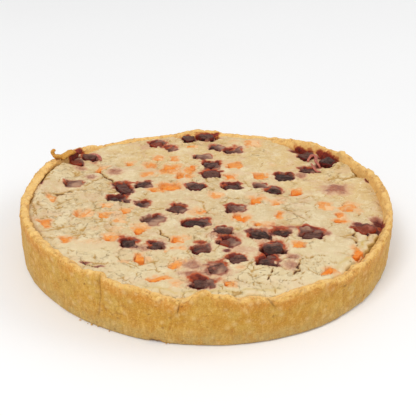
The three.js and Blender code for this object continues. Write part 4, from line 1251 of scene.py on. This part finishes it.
def carrot_finish(name, paleness):
    """Cooked carrot: orange with paler parts, as strong as paleness says, deeper along its edges, and
    wet glints."""
    f = Finish(name, Specular_IOR_Level=0.2, Coat_Roughness=0.12)
    film, edge, own = (f.mark(mark) for mark in ("film", "edge", "own"))
    patch, fine = f.noise(4, 4, 0.8), f.noise(1.5, 3, 0.6, (0.5, 1.3, 1))
    pale = f.between(0.3, 0.8, film + (fine - 0.5) * 0.6) * (0.4 + own * 0.8)
    colour = f.coats(
        tone(240, 130, 32),
        (f.between(0.35, 0.65, patch + (own - 0.5) * 0.3), 240, 152, 64),
        (f.between(0.52, 0.68, fine) * 0.7, 232, 121, 32),
        (f.between(0.46, 0.34, fine) * 0.35, 246, 184, 108),
        (pale * paleness, 238, 178, 116),
        (f.between(0.7, 1.0, edge + (patch - 0.5) * 0.6) * 0.5, 222, 116, 34))
    gloss = f.between(0.56, 0.68, patch) * 0.6
    return f.finish(colour, 0.36 + (fine - 0.5) * 0.4, fine * 0.8 + patch * 0.7, 0.8, Coat_Weight=gloss)


def strand_finish():
    """Shreds of beetroot skin: pinkish red, streaked, moist."""
    f = Finish("beetroot_skin", Specular_IOR_Level=0.5, Coat_Roughness=0.2, Coat_Weight=0.25)
    patch, fine = f.noise(5, 4, 0.6), f.noise(1.4, 3)
    colour = f.coats(tone(168, 74, 56), (f.between(0.35, 0.65, patch), 196, 104, 82),
                     (f.between(0.52, 0.68, fine) * 0.5, 206, 142, 116))
    return f.finish(colour, 0.4 + (fine - 0.5) * 0.3, fine + patch * 0.5, 0.6)


def floor_finish():
    """A plain pale matt floor."""
    f = Finish("pale_floor", Specular_IOR_Level=0.2)
    cloud = f.noise(900, 2)
    colour = f.mix(f.between(0.3, 0.7, cloud), tone(249, 249, 249), tone(251, 251, 251))
    return f.finish(colour, 0.7 + (cloud - 0.5) * 0.1, cloud, 0.1)


# ------------------------------------------------------------------ build


rng = np.random.default_rng(11)
beetroot_nodes = [f"beetroot_{k:02d}" for k in range(1, len(BEETROOT_LOOK) + 1)]
carrot_nodes = [f"carrot_{k:02d}" for k in range(1, len(CARROT_LOOK) + 1)]
beetroot = [faces_of(node) for node in beetroot_nodes]
carrot = [faces_of(node) for node in carrot_nodes]
bits = [faces_of_bit(row, rng) for row in CARROT_BITS]

crust_finish = pastry_finish()
pastry_case(crust_finish)
cream_filling(filling_finish(), beetroot, carrot, bits)
diced("beetroot_dice", beetroot, BEETROOT_LOOK, beetroot_finish(), "beetroot", BEETROOT_SEED,
      beetroot_nodes)
diced("carrot_dice", carrot, CARROT_LOOK, carrot_finish("cooked_carrot", 0.45), "carrot", CARROT_SEED,
      carrot_nodes)
diced("carrot_bits", bits, BIT_LOOK, carrot_finish("carrot_bits", 0.5), "carrot", BIT_SEED, wear=0.6)
tubes("beetroot_strands", STRANDS, strand_finish(), "beetroot", STRAND_SEED)

curl, fold = ([(*on_circle(radius, turn), height) for turn, radius, height in route]
              for route in (CURL, FOLD))
crumb_rows = []
for turn in rng.uniform(234, 262, 9):
    out, size = rng.uniform(133.2, 134.6), rng.uniform(0.25, 0.5)
    crumb_rows.append((*on_circle(out, turn), rng.uniform(0.3, 1.2), size * 1.4, size * 1.2, size * 0.6))
golden = {"rise": 0.7, "below_crest": 2.6, "crumb": 0.5}
tubes("pastry_curl", [(curl, 1.9, 0.8), (fold, 3, 0.6)], crust_finish, "crust", CURL_SEED, golden)
crumbs("pastry_crumbs", crumb_rows, crust_finish, "crust", golden)

# ------------------------------------------------------------------ floor, light and camera

scene = bpy.context.scene
scene.view_settings.view_transform = "Standard"
scene.world = bpy.data.worlds.new("studio")
scene.world.use_nodes = True
sky = scene.world.node_tree.nodes["Background"]
sky.inputs["Color"].default_value = (1, 1, 1, 1)
sky.inputs["Strength"].default_value = SKY_STRENGTH


def placed(name, data, matrix=Matrix()):
    """A new object of the scene, in place."""
    thing = bpy.data.objects.new(name, data)
    thing.matrix_world = matrix
    scene.collection.objects.link(thing)
    return thing


def softbox(name, place, size, power):
    """A square area light at a place in metres, turned to face the origin."""
    lamp = bpy.data.lights.new(name, "AREA")
    lamp.size, lamp.energy = size, power
    back = unit(np.array(place))
    side = unit(np.cross([0, 0, 1], back))
    axes = np.stack([side, np.cross(back, side), back, place], 1)
    placed(name, lamp, Matrix([*axes.tolist(), (0, 0, 0, 1)]))


floor_mesh = bpy.data.meshes.new("floor")
corner_signs = ((-1, -1), (1, -1), (1, 1), (-1, 1))
floor_mesh.from_pydata([(x * FLOOR_HALF, y * FLOOR_HALF, 0) for x, y in corner_signs], [], [(0, 1, 2, 3)])
floor_mesh.materials.append(floor_finish())
placed("floor", floor_mesh)

softbox("key_light", (-0.85, -1.15, 1.95), size=0.9, power=21)
softbox("fill_light", (1.9, 0.3, 1.5), size=1.4, power=12)

camera_data = bpy.data.cameras.new("camera")
camera_data.sensor_width = SENSOR_WIDTH
camera_data.lens = FOCAL_LENGTH / PICTURE_WIDTH * SENSOR_WIDTH
scene.camera = placed("camera", camera_data, Matrix((
    (0.99986613, -0.01628307, -0.00160984, 0),
    (0.00601911, 0.45751422, -0.88918193, -0.52277),
    (0.01521514, 0.8890532, 0.45755098, 0.29324),
    (0, 0, 0, 1),
)))
